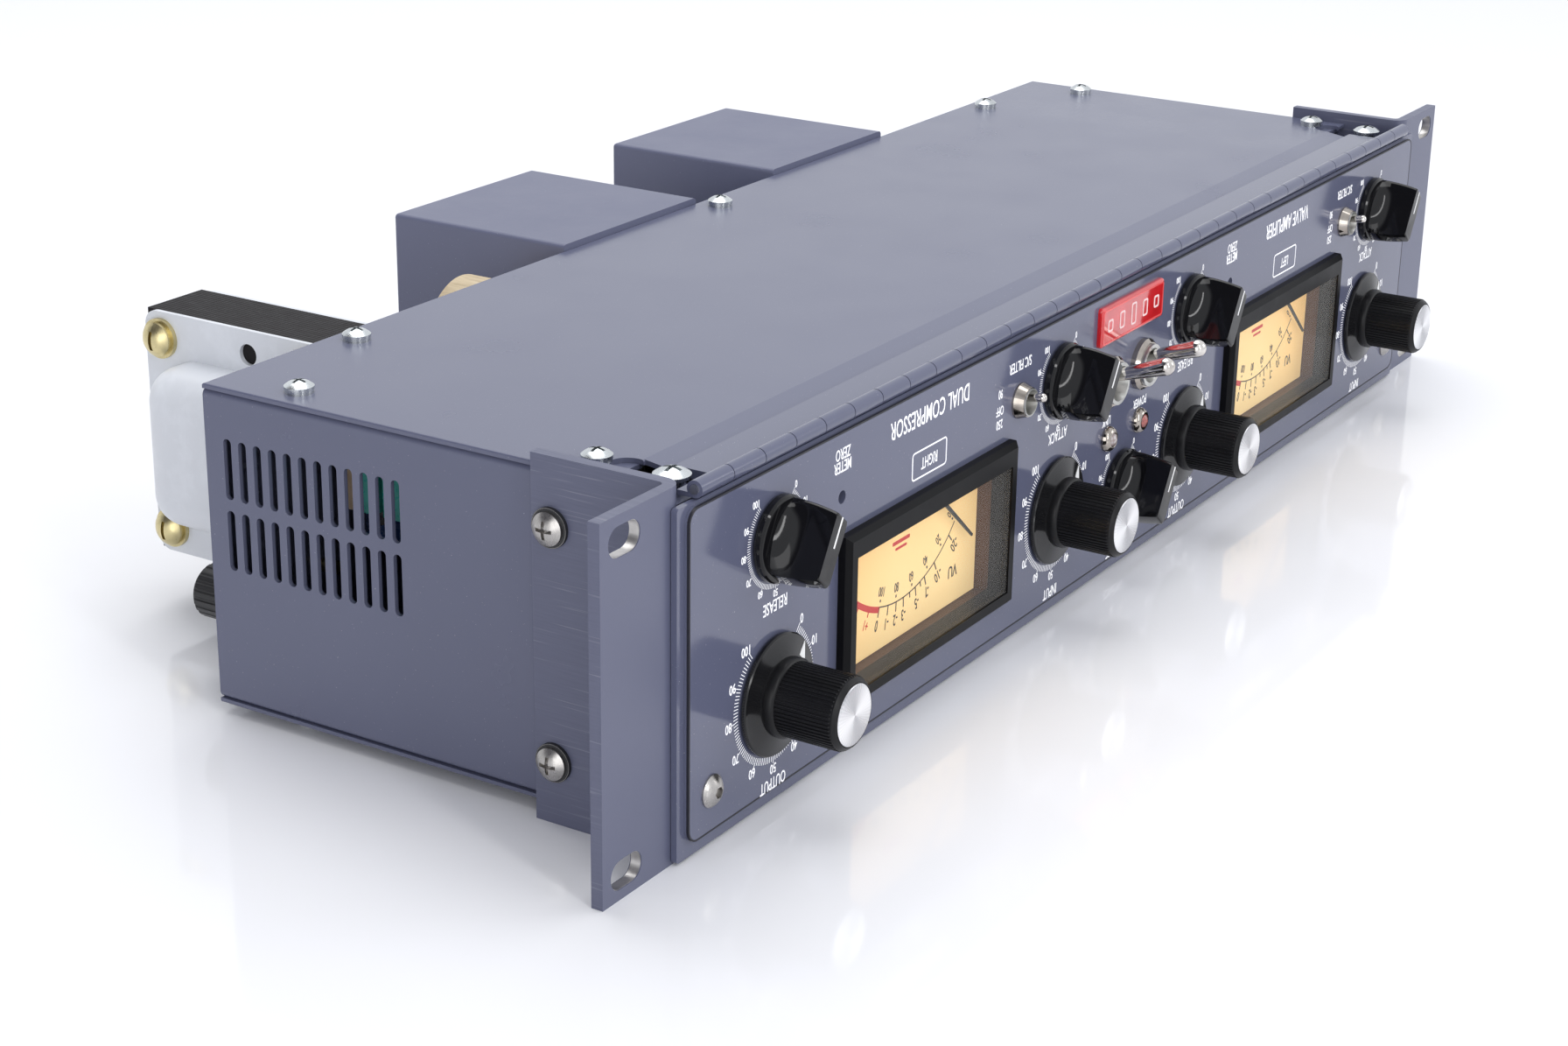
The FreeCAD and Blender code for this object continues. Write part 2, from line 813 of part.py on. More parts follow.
def make_switch(x, z, bushing, ball, opening, front, size):
    body = block(-size[0] / 2, size[0] / 2, door_back, door_back + size[1], -size[2] / 2, size[2] / 2)
    stem = front_rod(0, 0, bushing, front, door_back + 1)
    switch = joined([body, stem]).cut(lever_seat(ball, opening, front - 0.1))
    lugs = [block(-1, 1, door_back + size[1], door_back + size[1] + 5, step * 4.5 - 0.4, step * 4.5 + 0.4)
            for step in (-1, 0, 1)]
    switch = joined([switch] + lugs)
    switch.translate(FreeCAD.Vector(x, 0, z))
    return switch


big_switch = (12.6, 22.0, 24.0)
small_switch = (7.0, 10.0, 12.4)
big_front = face_front - 3.4
small_front = face_front - 3.3
big_ball = 2.5
small_ball = 1.5
big_mouth = 4.9
small_mouth = 3.3
big_neck = 1.5
small_neck = 0.7


def make_switch_bodies():
    shapes = [make_switch(x, z, big_bushing, big_ball, big_mouth, big_front, big_switch)
              for x, z in toggle_places().values()]
    shapes += [make_switch(x, z, small_bushing, small_ball, small_mouth, small_front, small_switch)
               for x, z in filter_places().values()]
    return shapes


def make_panel_nuts():
    shapes = []
    for x, z in toggle_places().values():
        shapes.append(lathed([(big_bushing, 0), (big_nut, 0), (big_nut, 1.4), (big_nut - 0.9, 2.4),
                              (big_bushing, 2.4)], (x, face_front, z), -Y_AXIS))
    for x, z in filter_places().values():
        rim = small_bushing + 0.2
        shapes.append(lathed([(small_bushing, 0), (small_nut, 0), (small_nut, 0.5), (rim, small_nut_length),
                              (small_bushing, small_nut_length)], (x, face_front, z), -Y_AXIS))
    for x, z in lamp_places():
        shapes.append(lathed([(lamp_lens, -6.0), (lamp_stem, -6.0), (lamp_stem, 0), (lamp_radius, 0),
                              (lamp_radius, 0.6), (lamp_radius - 0.4, 1.6, "arc"), (lamp_lens + 0.5, 2.2),
                              (lamp_lens, 2.2)], (x, face_front, z), -Y_AXIS))
    return shapes


def make_lamps():
    profile = [(0, -8.0), (lamp_lens, -8.0), *dome(lamp_lens, 1.6, 3.0)]
    return [lathed(profile, (x, face_front, z), -Y_AXIS) for x, z in lamp_places()]


def make_lever(x, z, ball, neck, bat, length, angle):
    shoulder = math.radians(50)
    profile = dome(ball, 0, -ball)[::-1]
    profile += [(ball * math.cos(shoulder / 2), ball * math.sin(shoulder / 2), "arc"),
                (ball * math.cos(shoulder), ball * math.sin(shoulder)), (neck, ball * 1.3),
                *dome(bat, length, length + bat)]
    lever = lathed(profile, (0, 0, 0), -Y_AXIS)
    lever.rotate(FreeCAD.Vector(0, 0, 0), X_AXIS, -angle)
    lever.translate(FreeCAD.Vector(x, lever_pivot_y, z))
    return lever


def make_badge():
    half = badge_width / 2
    mid = base + badge_z
    body = rounded_block(-half, half, face_front - badge_thick, face_front,
                         mid - badge_height / 2, mid + badge_height / 2, 1.0)
    top = [e for e in body.Edges if e.BoundBox.YMax < face_front - badge_thick + 0.01]
    return body.makeFillet(0.8, top)


# ---- Inside the case ---------------------------------------------------------------

def make_deck():
    back = case_depth - sheet - 4
    plate = block(-inner_half + 0.5, inner_half - 0.5, deck_front, back, deck_under, deck_under + sheet)
    lips = []
    for side in (-1, 1):
        x = side * (inner_half - 0.5)
        low, high = min(x, x - side * sheet), max(x, x - side * sheet)
        lips.append(block(low, high, deck_front, back, deck_under - 3.5, deck_under + sheet))
    front_lip = block(-inner_half + 0.5, inner_half - 0.5, deck_front, deck_front + sheet,
                      deck_under - 5, deck_under + sheet)
    return joined([plate, front_lip] + lips)


def standoff_places():
    return [(x, y) for x in (-184, -62, 62, 184) for y in (deck_front + 8, case_depth - 18)]


def make_board():
    plate = block(-board_half, board_half, deck_front + 3, case_depth - 12, board_low, board_top)
    holes = [rod((x, y, board_low - 1), Z_AXIS, 1.5, board_stock + 2) for x, y in standoff_places()]
    return plate.cut(holes)


def make_standoffs():
    shapes = []
    for x, y in standoff_places():
        post = rod((x, y, board_top), Z_AXIS, 2.8, deck_under - board_top)
        shapes.append(post)
        shapes.append(pan_screw((x, y, board_low), -Z_AXIS, 2.7, 1.6, 1.5, board_stock))
    return shapes


def tube_places():
    places = []
    for index in range(4):
        x = 50 + index * tube_pitch
        places += [(-x, tube_y), (x, tube_y)]
    return places


socket_height = 8.0
socket_rim = 0.8


def make_tube_sockets():
    shapes = []
    for x, y in tube_places():
        rim = tube_radius + socket_rim
        shapes.append(lathed([(0, 0), (rim, 0), (rim, socket_height - 1), (tube_radius, socket_height),
                              (0, socket_height)], (x, y, board_low), -Z_AXIS))
    return shapes


def make_tubes():
    shapes = []
    top = socket_height + 0.3
    for x, y in tube_places():
        r = tube_radius
        end = top + tube_length
        wall = 0.8
        inner = dome(r - wall, end - 7.2, end - 2)[::-1]
        glass = lathed([(0, top), (r - 1, top), (r, top + 1), (r, end - 7), (r * 0.78, end - 2.2, "arc"),
                        (1.6, end), (0, end + 2.4), *inner, (r - wall, top + 1.6), (0, top + 1.6)],
                       (x, y, board_low), -Z_AXIS)
        anode = block(x - 5.5, x + 5.5, y - 4, y + 4, board_low - end + 12, board_low - top - 9)
        mica = [rod((x, y, board_low - top - gap), -Z_AXIS, r - 1.4, 0.5)
                for gap in (8.5, tube_length - 12.0)]
        posts = [rod((x + dx, y, board_low - top - 1.6), -Z_AXIS, 0.6, 6.7) for dx in (-3, 3)]
        shapes += [glass, anode] + mica + posts
    return shapes


def make_film_capacitors():
    shapes = []
    for index in range(9):
        x = -176 + index * 44
        shapes.append(rounded_block(x - 10, x + 10, deck_front + 13, deck_front + 21,
                                    board_low - 15, board_low, 1.2, Z_AXIS))
    for side in (-1, 1):
        for step in range(3):
            y = 80 + step * 14
            x = side * 187
            shapes.append(rounded_block(x - 4, x + 4, y - 6, y + 6, board_low - 17, board_low, 1.2, Z_AXIS))
    return shapes


def make_electrolytics():
    shapes = []
    for x, y, r, h in ((-176, 92, 6.0, 30), (-176, 110, 6.0, 30), (0, 107, 10.5, 42), (0, 84, 10.5, 42),
                       (176, 92, 6.0, 30), (176, 110, 6.0, 30), (24, 96, 7.5, 28), (-24, 96, 7.5, 28)):
        shapes.append(lathed([(0, 0), (r, 0), (r, h - 0.8), (r - 0.8, h), (0, h)],
                             (x, y, board_low), -Z_AXIS))
    return shapes


def make_resistors():
    shapes = []
    for index in range(16):
        x = -150 + index * 20
        bulge = rod((x - 3.5, deck_front + 27, board_low - 2.4), X_AXIS, 1.3, 7)
        legs = [rod((x + dx, deck_front + 27, board_low - 2.4), Z_AXIS, 0.35, 2.4) for dx in (-3, 3)]
        shapes.append(joined([bulge] + legs))
    return shapes


def make_loom():
    z = board_low - 4.0
    y = deck_front + 4.5
    trunk = rod((-150, y, z), X_AXIS, 3.0, 300)
    ties = [rod((x, y, z), X_AXIS, 3.4, 2.0) for x in range(-130, 150, 40)]
    return joined([trunk] + ties)


# ---- Rear wall ---------------------------------------------------------------------

rear = case_depth
core_y0 = rear + core_gap
core_y1 = core_y0 + core_depth
core_mid_z = base + core_z
core_low = core_mid_z - core_height / 2
core_high = core_mid_z + core_height / 2
coil_half_y = core_depth / 2 - core_window
leg_half_y = coil_half_y - core_window
bolt_inset_y = 5.5
bolt_inset_z = 7.0
core_mid_y = (core_y0 + core_y1) / 2


def core_bolts():
    ys = (core_y0 + bolt_inset_y, core_y1 - bolt_inset_y)
    zs = (core_low + bolt_inset_z, core_high - bolt_inset_z)
    return [(y, z) for y in ys for z in zs]


def make_core():
    half = core_stack / 2
    stack = block(power_x - half, power_x + half, core_y0, core_y1, core_low, core_high)
    tools = []
    for side in (-1, 1):
        inner = core_mid_y + side * leg_half_y
        outer = core_mid_y + side * coil_half_y
        tools.append(block(power_x - half - 1, power_x + half + 1, min(inner, outer), max(inner, outer),
                           core_mid_z - core_window_height / 2, core_mid_z + core_window_height / 2))
    tools += [rod((power_x - 30, y, z), X_AXIS, 2.0, 60) for y, z in core_bolts()]
    return stack.cut(tools)


def winding(mid_x, half_stack, mid_y, half_y, leg_half, mid_z, half_z, reach):
    half_x = half_stack + reach
    coil = rounded_block(mid_x - half_x, mid_x + half_x, mid_y - half_y, mid_y + half_y,
                         mid_z - half_z, mid_z + half_z, 3.0, Z_AXIS)
    return coil.cut(block(mid_x - half_stack, mid_x + half_stack, mid_y - leg_half, mid_y + leg_half,
                          mid_z - half_z - 1, mid_z + half_z + 1))


def edges_off_plane(shape, x):
    kept = []
    for edge in shape.Edges:
        box = edge.BoundBox
        if abs(box.XMin - x) > 0.01 or abs(box.XMax - x) > 0.01:
            kept.append(edge)
    return kept


def make_bell(side):
    face = power_x + side * core_stack / 2
    plate_x = sorted((face, face + side * bell_stock))
    flange_plate = rounded_block(plate_x[0], plate_x[1], core_y0, core_y1, core_low, core_high, 4.0, X_AXIS)
    grow = 2.0
    y0, y1 = core_mid_y - coil_half_y - grow, core_mid_y + coil_half_y + grow
    z0 = core_mid_z - core_window_height / 2 - 0.5
    z1 = core_mid_z + core_window_height / 2 + 0.5
    bulge_x = sorted((face, face + side * bell_bulge))
    bulge = block(bulge_x[0], bulge_x[1], y0, y1, z0, z1)
    far = face + side * bell_bulge
    bulge = bulge.makeFillet(bell_round, edges_off_plane(bulge, face))
    inner_x = sorted((face - side, far - side * bell_stock))
    room = block(inner_x[0], inner_x[1], y0 + bell_stock, y1 - bell_stock, z0 + bell_stock, z1 - bell_stock)
    room = room.makeFillet(bell_round - bell_stock, edges_off_plane(room, face - side))
    foot_x = sorted((face, face + side * foot_width))
    foot = block(foot_x[0], foot_x[1], rear, rear + bell_stock + 0.3, core_low, core_high)
    web = block(plate_x[0], plate_x[1], rear, core_y0 + 6, core_low, core_high)
    bell = joined([flange_plate, bulge, foot, web]).cut(room)
    tools = [rod((power_x - 40, y, z), X_AXIS, 2.0, 80) for y, z in core_bolts()]
    tools.append(rod((power_x - 40, core_y0 + 25, core_high - bolt_inset_z + 0.6), X_AXIS, 2.8, 80))
    tools += [rod((x, rear - 1, z), Y_AXIS, 2.0, 5) for x, z in foot_screw_places(side)]
    return bell.cut(tools)


def foot_screw_places(side):
    x = power_x + side * (core_stack / 2 + foot_width - 4.5)
    return [(x, core_mid_z - 22), (x, core_mid_z + 22)]


def make_transformer_screws():
    shapes = []
    left = power_x - core_stack / 2 - bell_stock
    right = power_x + core_stack / 2 + bell_stock
    for y, z in core_bolts():
        shapes.append(washer((left, y, z), -X_AXIS, 5.3, 2.0, 1.2))
        shapes.append(pan_screw((left - 1.2, y, z), -X_AXIS, 4.5, 3.4, 2.0, right - left + 6.5, False))
        nut = Part.makeCylinder(3.9, 3.0, FreeCAD.Vector(right, y, z), X_AXIS)
        shapes.append(nut.cut(rod((right - 1, y, z), X_AXIS, 2.0, 6)))
    return shapes


can_flange = 9.0
can_z0 = base + can_top - can_height


def make_can(x):
    half = can_width / 2
    outer = block(x - half, x + half, rear, rear + can_depth, can_z0, can_z0 + can_height)
    outer = outer.makeFillet(1.2, [e for e in outer.Edges if e.BoundBox.YMax > rear + 0.01])
    room = block(x - half + can_stock, x + half - can_stock, rear + can_stock, rear + can_depth - can_stock,
                 can_z0 + can_stock, can_z0 + can_height - can_stock)
    mouth = block(x - half + can_flange, x + half - can_flange, rear - 1, rear + 3,
                  can_z0 + can_flange, can_z0 + can_height - can_flange)
    holes = [front_rod(cx, cz, 1.7, rear - 1, rear + 3) for cx, cz in can_screw_places(x)]
    return outer.cut([room, mouth] + holes)


def can_screw_places(x):
    reach_x = can_width / 2 - can_flange / 2
    reach_z = can_height / 2 - can_flange / 2 - 4.0
    mid = can_z0 + can_height / 2
    return [(x + sx * reach_x, mid + sz * reach_z) for sx in (-1, 1) for sz in (-1, 1)]


can_core_half = (12.0, 21.0, 25.0)


def make_can_core(x):
    mid_y = rear + can_depth / 2 + 2
    mid_z = can_z0 + can_height / 2
    hx, hy, hz = can_core_half
    stack = block(x - hx, x + hx, mid_y - hy, mid_y + hy, mid_z - hz, mid_z + hz)
    tools = []
    for side in (-1, 1):
        a, b = sorted((mid_y + side * 7.0, mid_y + side * 14.0))
        tools.append(block(x - hx - 1, x + hx + 1, a, b, mid_z - 17, mid_z + 17))
    return stack.cut(tools)


def make_windings():
    shapes = [winding(power_x, core_stack / 2, core_mid_y, coil_half_y - 1.4, leg_half_y, core_mid_z,
                      core_window_height / 2 - 3.5, bell_bulge - 7.0)]
    for x in can_x:
        shapes.append(winding(x, can_core_half[0], rear + can_depth / 2 + 2, 14.0, 7.0,
                              can_z0 + can_height / 2, 17.0, 8.0))
    return shapes


def make_smoothing_capacitor():
    z = base + capacitor_z
    r = capacitor_radius
    sleeve = [(0, -4.0), (r - 1.0, -4.0), (r - 1.0, 0), (r, 0), (r, capacitor_reach - 0.8),
              (r - 0.8, capacitor_reach), (r - 2.2, capacitor_reach), (r - 2.6, capacitor_reach - 0.9),
              (0, capacitor_reach - 0.9)]
    return lathed(sleeve, (capacitor_x, rear, z), Y_AXIS)


inlet_half = (13.6, 9.9)
inlet_room = (12.3, 8.2)
inlet_depth = 15.0
inlet_flange = (25.0, 11.2)
inlet_flange_thick = 2.4
inlet_screw = 20.0


def make_inlet():
    z = base + inlet_z
    x = inlet_x
    body = block(x - inlet_half[0], x + inlet_half[0], rear - 22, rear,
                 z - inlet_half[1], z + inlet_half[1])
    lip = rounded_block(x - inlet_flange[0], x + inlet_flange[0], rear, rear + inlet_flange_thick,
                        z - inlet_flange[1], z + inlet_flange[1], 4.0)
    room = rounded_block(x - inlet_room[0], x + inlet_room[0], rear + inlet_flange_thick - inlet_depth,
                         rear + inlet_flange_thick + 1, z - inlet_room[1], z + inlet_room[1], 2.5)
    holes = [front_rod(x + side * inlet_screw, z, 1.7, rear - 1, rear + 4) for side in (-1, 1)]
    lugs = [block(px - 2, px + 2, rear - 30, rear - 22, pz - 0.5, pz + 0.5)
            for px, pz in inlet_pin_places()]
    pins = [block(px - 2, px + 2, rear - 22, rear - 10, pz - 1, pz + 1) for px, pz in inlet_pin_places()]
    return joined([body, lip]).cut([room] + holes + pins).fuse(lugs).Solids


def inlet_pin_places():
    z = base + inlet_z
    return [(inlet_x - 7.0, z - 2.0), (inlet_x, z + 2.0), (inlet_x + 7.0, z - 2.0)]


xlr_barrel = 11.0
xlr_bore = 9.4
xlr_depth = 14.0
xlr_flange = (13.0, 15.5)
xlr_flange_thick = 2.2
xlr_pin_circle = 4.3
xlr_island = 7.8


def xlr_flange_plate(x, z):
    return rounded_block(x - xlr_flange[0], x + xlr_flange[0], rear, rear + xlr_flange_thick,
                         z - xlr_flange[1], z + xlr_flange[1], 2.5)


def xlr_screws(x, z):
    return [(x - 9.5, z + 12.0), (x + 9.5, z - 12.0)]


def xlr_pin_places(x, z):
    return [(x + xlr_pin_circle * math.cos(math.radians(a)), z + xlr_pin_circle * math.sin(math.radians(a)))
            for a in (30, 150, 270)]


def make_xlr(x, z, male):
    barrel_solid = front_rod(x, z, xlr_barrel, rear - 20, rear)
    shell = joined([barrel_solid, xlr_flange_plate(x, z)])
    front = rear + xlr_flange_thick
    tools = [front_rod(hx, hz, 1.6, rear - 1, front + 1) for hx, hz in xlr_screws(x, z)]
    if male:
        tools.append(front_rod(x, z, xlr_bore, front - xlr_depth, front + 1))
        tools += [front_rod(px, pz, 1.2, front - xlr_depth - 3, front) for px, pz in xlr_pin_places(x, z)]
    else:
        island = front_rod(x, z, xlr_island, front - 2, front + 2)
        tools.append(front_rod(x, z, xlr_bore, front - 1.4, front + 1).cut(island))
        tools += [front_rod(px, pz, 1.6, front - 11, front + 1) for px, pz in xlr_pin_places(x, z)]
    return shell.cut(tools)


def make_connector_pins():
    shapes = []
    for x, z in inlet_pin_places():
        shapes.append(block(x - 2, x + 2, rear - 22, rear - 1, z - 1, z + 1))
    for x in xlr_columns:
        front = rear + xlr_flange_thick
        for px, pz in xlr_pin_places(x, base + xlr_output_z):
            pin = lathed([(0, 0), (1.2, 0), (1.2, 12.4), (0.7, 13.2), (0, 13.2)],
                         (px, front - xlr_depth - 3, pz), Y_AXIS)
            shapes.append(pin)
    return shapes


def make_rear_screws():
    shapes = []
    for x, z in foot_screw_places(-1) + foot_screw_places(1):
        shapes.append(pan_screw((x, rear + bell_stock + 0.3, z), Y_AXIS, 3.6, 2.2, 1.7, 7.0))
    for x in can_x:
        for cx, cz in can_screw_places(x):
            shapes.append(pan_screw((cx, rear - sheet, cz), -Y_AXIS, 3.2, 2.0, 1.7, sheet + can_stock))
    for side in (-1, 1):
        shapes.append(pan_screw((inlet_x + side * inlet_screw, rear + inlet_flange_thick, base + inlet_z),
                                Y_AXIS, 2.8, 1.7, 1.5, 7.0))
    for x in xlr_columns:
        for z in (base + xlr_input_z, base + xlr_output_z):
            for hx, hz in xlr_screws(x, z):
                shapes.append(pan_screw((hx, rear + xlr_flange_thick, hz), Y_AXIS, 2.6, 1.6, 1.5, 6.5))
    return shapes


fuse_body = 6.0
fuse_lip = 8.6
fuse_cap_radius = 6.9
fuse_cap_start = 2.4
fuse_cap_end = 16.5


def make_fuse_holder():
    z = base + fuse_z
    body = lathed([(3.6, -26.0), (fuse_body, -26.0), (fuse_body, 0), (fuse_lip, 0), (fuse_lip, 1.4),
                   (fuse_lip - 0.6, 2.0), (3.6, 2.0)], (fuse_x, rear, z), Y_AXIS)
    end = rod((fuse_x, rear - 27.5, z), Y_AXIS, fuse_body, 1.5)
    lug = block(fuse_x - 2, fuse_x + 2, rear - 34, rear - 27.5, z - 0.4, z + 0.4)
    return joined([body, end, lug])


def make_fuse_cap():
    z = base + fuse_z
    cap = lathed([(0, fuse_cap_start), (fuse_cap_radius, fuse_cap_start),
                  (fuse_cap_radius, fuse_cap_end - 1),
                  (fuse_cap_radius - 1, fuse_cap_end), (0, fuse_cap_end)], (fuse_x, rear, z), Y_AXIS)
    grooves = []
    for index in range(20):
        angle = math.radians(18 * index)
        grooves.append(rod((fuse_x + (fuse_cap_radius + 0.25) * math.cos(angle), rear + fuse_cap_start - 1,
                            z + (fuse_cap_radius + 0.25) * math.sin(angle)), Y_AXIS, 0.6, 20))
    grooves.append(block(fuse_x - 4.5, fuse_x + 4.5, rear + fuse_cap_end - 1.2, rear + fuse_cap_end + 1,
                         z - 0.6, z + 0.6))
    stem = rod((fuse_x, rear - 3, z), Y_AXIS, 3.3, fuse_cap_start + 3)
    cap = joined([cap, stem]).cut(grooves)
    fuse = rod((fuse_x, rear - 23, z), Y_AXIS, 2.5, 20)
    return [cap, fuse]


def rear_wall_holes():
    reach = (rear - 3, rear + 1)
    tools = []
    for x, z in foot_screw_places(-1) + foot_screw_places(1):
        tools.append(front_rod(x, z, 1.7, *reach))
    for x in can_x:
        tools += [front_rod(cx, cz, 1.7, *reach) for cx, cz in can_screw_places(x)]
        tools.append(front_rod(x, can_z0 + can_height / 2, 8.0, *reach))
    z = base + inlet_z
    tools.append(block(inlet_x - inlet_half[0], inlet_x + inlet_half[0], *reach,
                       z - inlet_half[1], z + inlet_half[1]))
    tools += [front_rod(inlet_x + side * inlet_screw, z, 1.5, *reach) for side in (-1, 1)]
    tools.append(front_rod(fuse_x, base + fuse_z, fuse_body, *reach))
    tools.append(front_rod(capacitor_x, base + capacitor_z, capacitor_radius - 1.0, *reach))
    for x in xlr_columns:
        for z in (base + xlr_input_z, base + xlr_output_z):
            tools.append(front_rod(x, z, xlr_barrel, *reach))
            tools += [front_rod(hx, hz, 1.5, *reach) for hx, hz in xlr_screws(x, z)]
    return tools


# ---- Write every node --------------------------------------------------------------

save("case_shell", [make_case_shell()])
save("upper_cover", [make_upper_cover()])
save("lower_cover", [make_lower_cover()])
save("cover_screws", make_cover_screws())
save("right_channel_ear", [make_ear(-1)])
save("left_channel_ear", [make_ear(1)])
save("ear_screws", make_ear_screws())
save("hinge_fixed_leaf", [make_fixed_leaf()])
save("hinge_pin", [make_hinge_pin()])
save("latch_brackets", make_latch_brackets())
save("inner_deck", [make_deck()])
save("circuit_board", [make_board()])
save("board_standoffs", make_standoffs())
save("tube_sockets", make_tube_sockets())
save("vacuum_tubes", make_tubes())
save("film_capacitors", make_film_capacitors())
save("electrolytic_capacitors", make_electrolytics())
save("resistors", make_resistors())
save("wire_loom", [make_loom()])
save("power_transformer_core", [make_core()])
save("power_transformer_bells", [make_bell(-1), make_bell(1)])
save("transformer_windings", make_windings())
save("audio_transformer_cans", [make_can(x) for x in can_x])
save("audio_transformer_cores", [make_can_core(x) for x in can_x])
save("smoothing_capacitor", [make_smoothing_capacitor()])
save("fuse_holder", [make_fuse_holder()])
save("fuse_cap", make_fuse_cap())
save("mains_inlet", make_inlet())
save("input_connectors", [make_xlr(x, base + xlr_input_z, False) for x in xlr_columns])
save("output_connectors", [make_xlr(x, base + xlr_output_z, True) for x in xlr_columns])
save("connector_pins", make_connector_pins())
save("rear_screws", make_transformer_screws() + make_rear_screws())

save("sub_panel", [make_sub_panel()])
save("faceplate", [make_faceplate()])
save("hinge_door_leaf", [make_door_leaf()])
save("door_screws", make_door_screws())
save("meter_bezels", [make_bezel(x) for x in channel_x])
save("meter_lenses", [make_lens(x) for x in channel_x])
save("meter_scales", [make_scale(x) for x in channel_x])
save("meter_cases", [make(x) for x in channel_x for make in (make_meter_case, make_movement)])
save("right_needle", [make_needle(channel_x[0])])
save("left_needle", [make_needle(channel_x[1])])
save("badge", [make_badge()])
save("panel_nuts", make_panel_nuts())
save("lamp_lenses", make_lamps())
save("potentiometers", make_potentiometers())
save("switch_bodies", make_switch_bodies())
for name, place in round_knob_places().items():
    save(name + "_knob", make_round_knob(*place))
for name, place in bar_knob_places().items():
    save(name + "_knob", make_bar_knob(*place))
for name, place in toggle_places().items():
    save(name + "_lever", [make_lever(*place, big_ball, big_neck, big_lever_tip, big_lever_length,
                                      big_lever_angle)])
for name, place in filter_places().items():
    save(name + "_lever", [make_lever(*place, small_ball, small_neck, small_lever_tip, small_lever_length,
                               small_lever_angle)])
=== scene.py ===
import json
import math

import bmesh
import bpy
from bpy.props import FloatProperty, FloatVectorProperty, IntProperty, PointerProperty
from mathutils import Matrix, Vector


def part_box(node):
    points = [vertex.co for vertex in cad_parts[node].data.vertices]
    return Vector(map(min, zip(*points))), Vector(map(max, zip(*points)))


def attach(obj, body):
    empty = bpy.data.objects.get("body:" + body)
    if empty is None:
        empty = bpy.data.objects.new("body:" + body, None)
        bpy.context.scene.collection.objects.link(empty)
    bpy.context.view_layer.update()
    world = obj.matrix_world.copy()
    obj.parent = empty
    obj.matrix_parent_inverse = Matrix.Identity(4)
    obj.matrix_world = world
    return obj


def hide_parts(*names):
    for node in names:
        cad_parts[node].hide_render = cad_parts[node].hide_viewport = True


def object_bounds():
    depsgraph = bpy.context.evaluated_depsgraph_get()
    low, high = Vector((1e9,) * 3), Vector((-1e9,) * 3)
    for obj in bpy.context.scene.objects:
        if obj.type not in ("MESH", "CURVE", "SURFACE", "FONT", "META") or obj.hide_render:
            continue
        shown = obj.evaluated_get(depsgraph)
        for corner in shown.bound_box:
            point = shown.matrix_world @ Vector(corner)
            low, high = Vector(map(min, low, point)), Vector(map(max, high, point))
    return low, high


bl_info = {
    "name": "Rack compressor",
    "version": (1, 0, 0),
    "blender": (4, 5, 0),
    "location": "3D View > Sidebar > Compressor",
    "description": "Builds the finishes, dials, knobs and meters of a two-channel rack compressor",
    "category": "Object",
}

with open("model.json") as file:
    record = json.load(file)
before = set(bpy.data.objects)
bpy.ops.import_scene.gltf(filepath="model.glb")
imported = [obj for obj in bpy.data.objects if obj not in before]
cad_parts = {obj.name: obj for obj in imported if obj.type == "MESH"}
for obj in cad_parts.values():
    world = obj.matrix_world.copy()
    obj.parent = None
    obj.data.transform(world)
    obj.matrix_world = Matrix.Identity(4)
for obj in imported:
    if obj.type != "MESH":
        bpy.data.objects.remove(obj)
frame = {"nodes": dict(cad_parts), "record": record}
NODES = frame["nodes"]
CAD_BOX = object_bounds()

MM = 0.001


def span(node):
    low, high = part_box(node)
    return Vector(low), Vector(high)


def middle(node):
    low, high = span(node)
    return (low + high) / 2


PANEL_Y = span("faceplate")[0].y
BASE = span("right_channel_ear")[0].z
ROUND_KNOBS = ("right_output", "right_input", "left_output", "left_input")
BAR_KNOBS = ("right_release", "right_attack", "left_release", "left_attack", "balance")

# The knobs' pointers at rest, and the dials' arcs.
BAR_POINTER = math.radians(30)
ROUND_POINTER = math.radians(46)
DIAL_START = math.radians(38)
DIAL_SWEEP = math.radians(284)

# Ratios.
BAR_DIAL_RATIO = 0.72
LONG_MARK = 1.35
CAPITAL_SHARE = 0.72

# Lengths in millimetres.
PRINT_LIFT = 0.04
PRINT_HALF = 0.02
KNOB_GAP = 0.4
KNOB_RECESS = 1.9
METER_CENTRE = 109.25
PIVOT_HEIGHT = 62.0
ZERO_OFFSET = 40.95
FILTER_OFFSET = 46.75
TUBE_RADIUS = 10.4
TUBE_PITCH = 36.0
WASHER_FACE = 213.5
WASHER_Y = 33.0
WASHER_INSET = 4.6
LINING_WALL = 0.12

# The stage: metres, degrees (pan, tilt, roll), and the way to the surround's dim side.
FLOOR_REACH = 4.0
VIEW_PLACE = (-0.67687, -0.31422, 0.24707)
VIEW_TURNS = (-58.173, 69.329, 0.868)
SENSOR_WIDTH = 36.0
DIM_SIDE = (-0.55, 0.42, 0.72)
DIM_EDGE = (0.72, 0.90)


# ---- Shader expressions ----------------------------------------------------------

class Link:
    """A socket that can be used in a sum; each operation adds its Math node."""

    def __init__(self, recipe, socket):
        self.recipe = recipe
        self.socket = socket

    def _math(self, operation, first, second):
        return self.recipe.maths(operation, first, second)

    def __add__(self, other):
        return self._math("ADD", self, other)

    def __radd__(self, other):
        return self._math("ADD", other, self)

    def __sub__(self, other):
        return self._math("SUBTRACT", self, other)

    def __rsub__(self, other):
        return self._math("SUBTRACT", other, self)

    def __mul__(self, other):
        return self._math("MULTIPLY", self, other)

    def __rmul__(self, other):
        return self._math("MULTIPLY", other, self)

    def __pow__(self, other):
        return self._math("POWER", self, other)

    def __gt__(self, other):
        return self._math("GREATER_THAN", self, other)


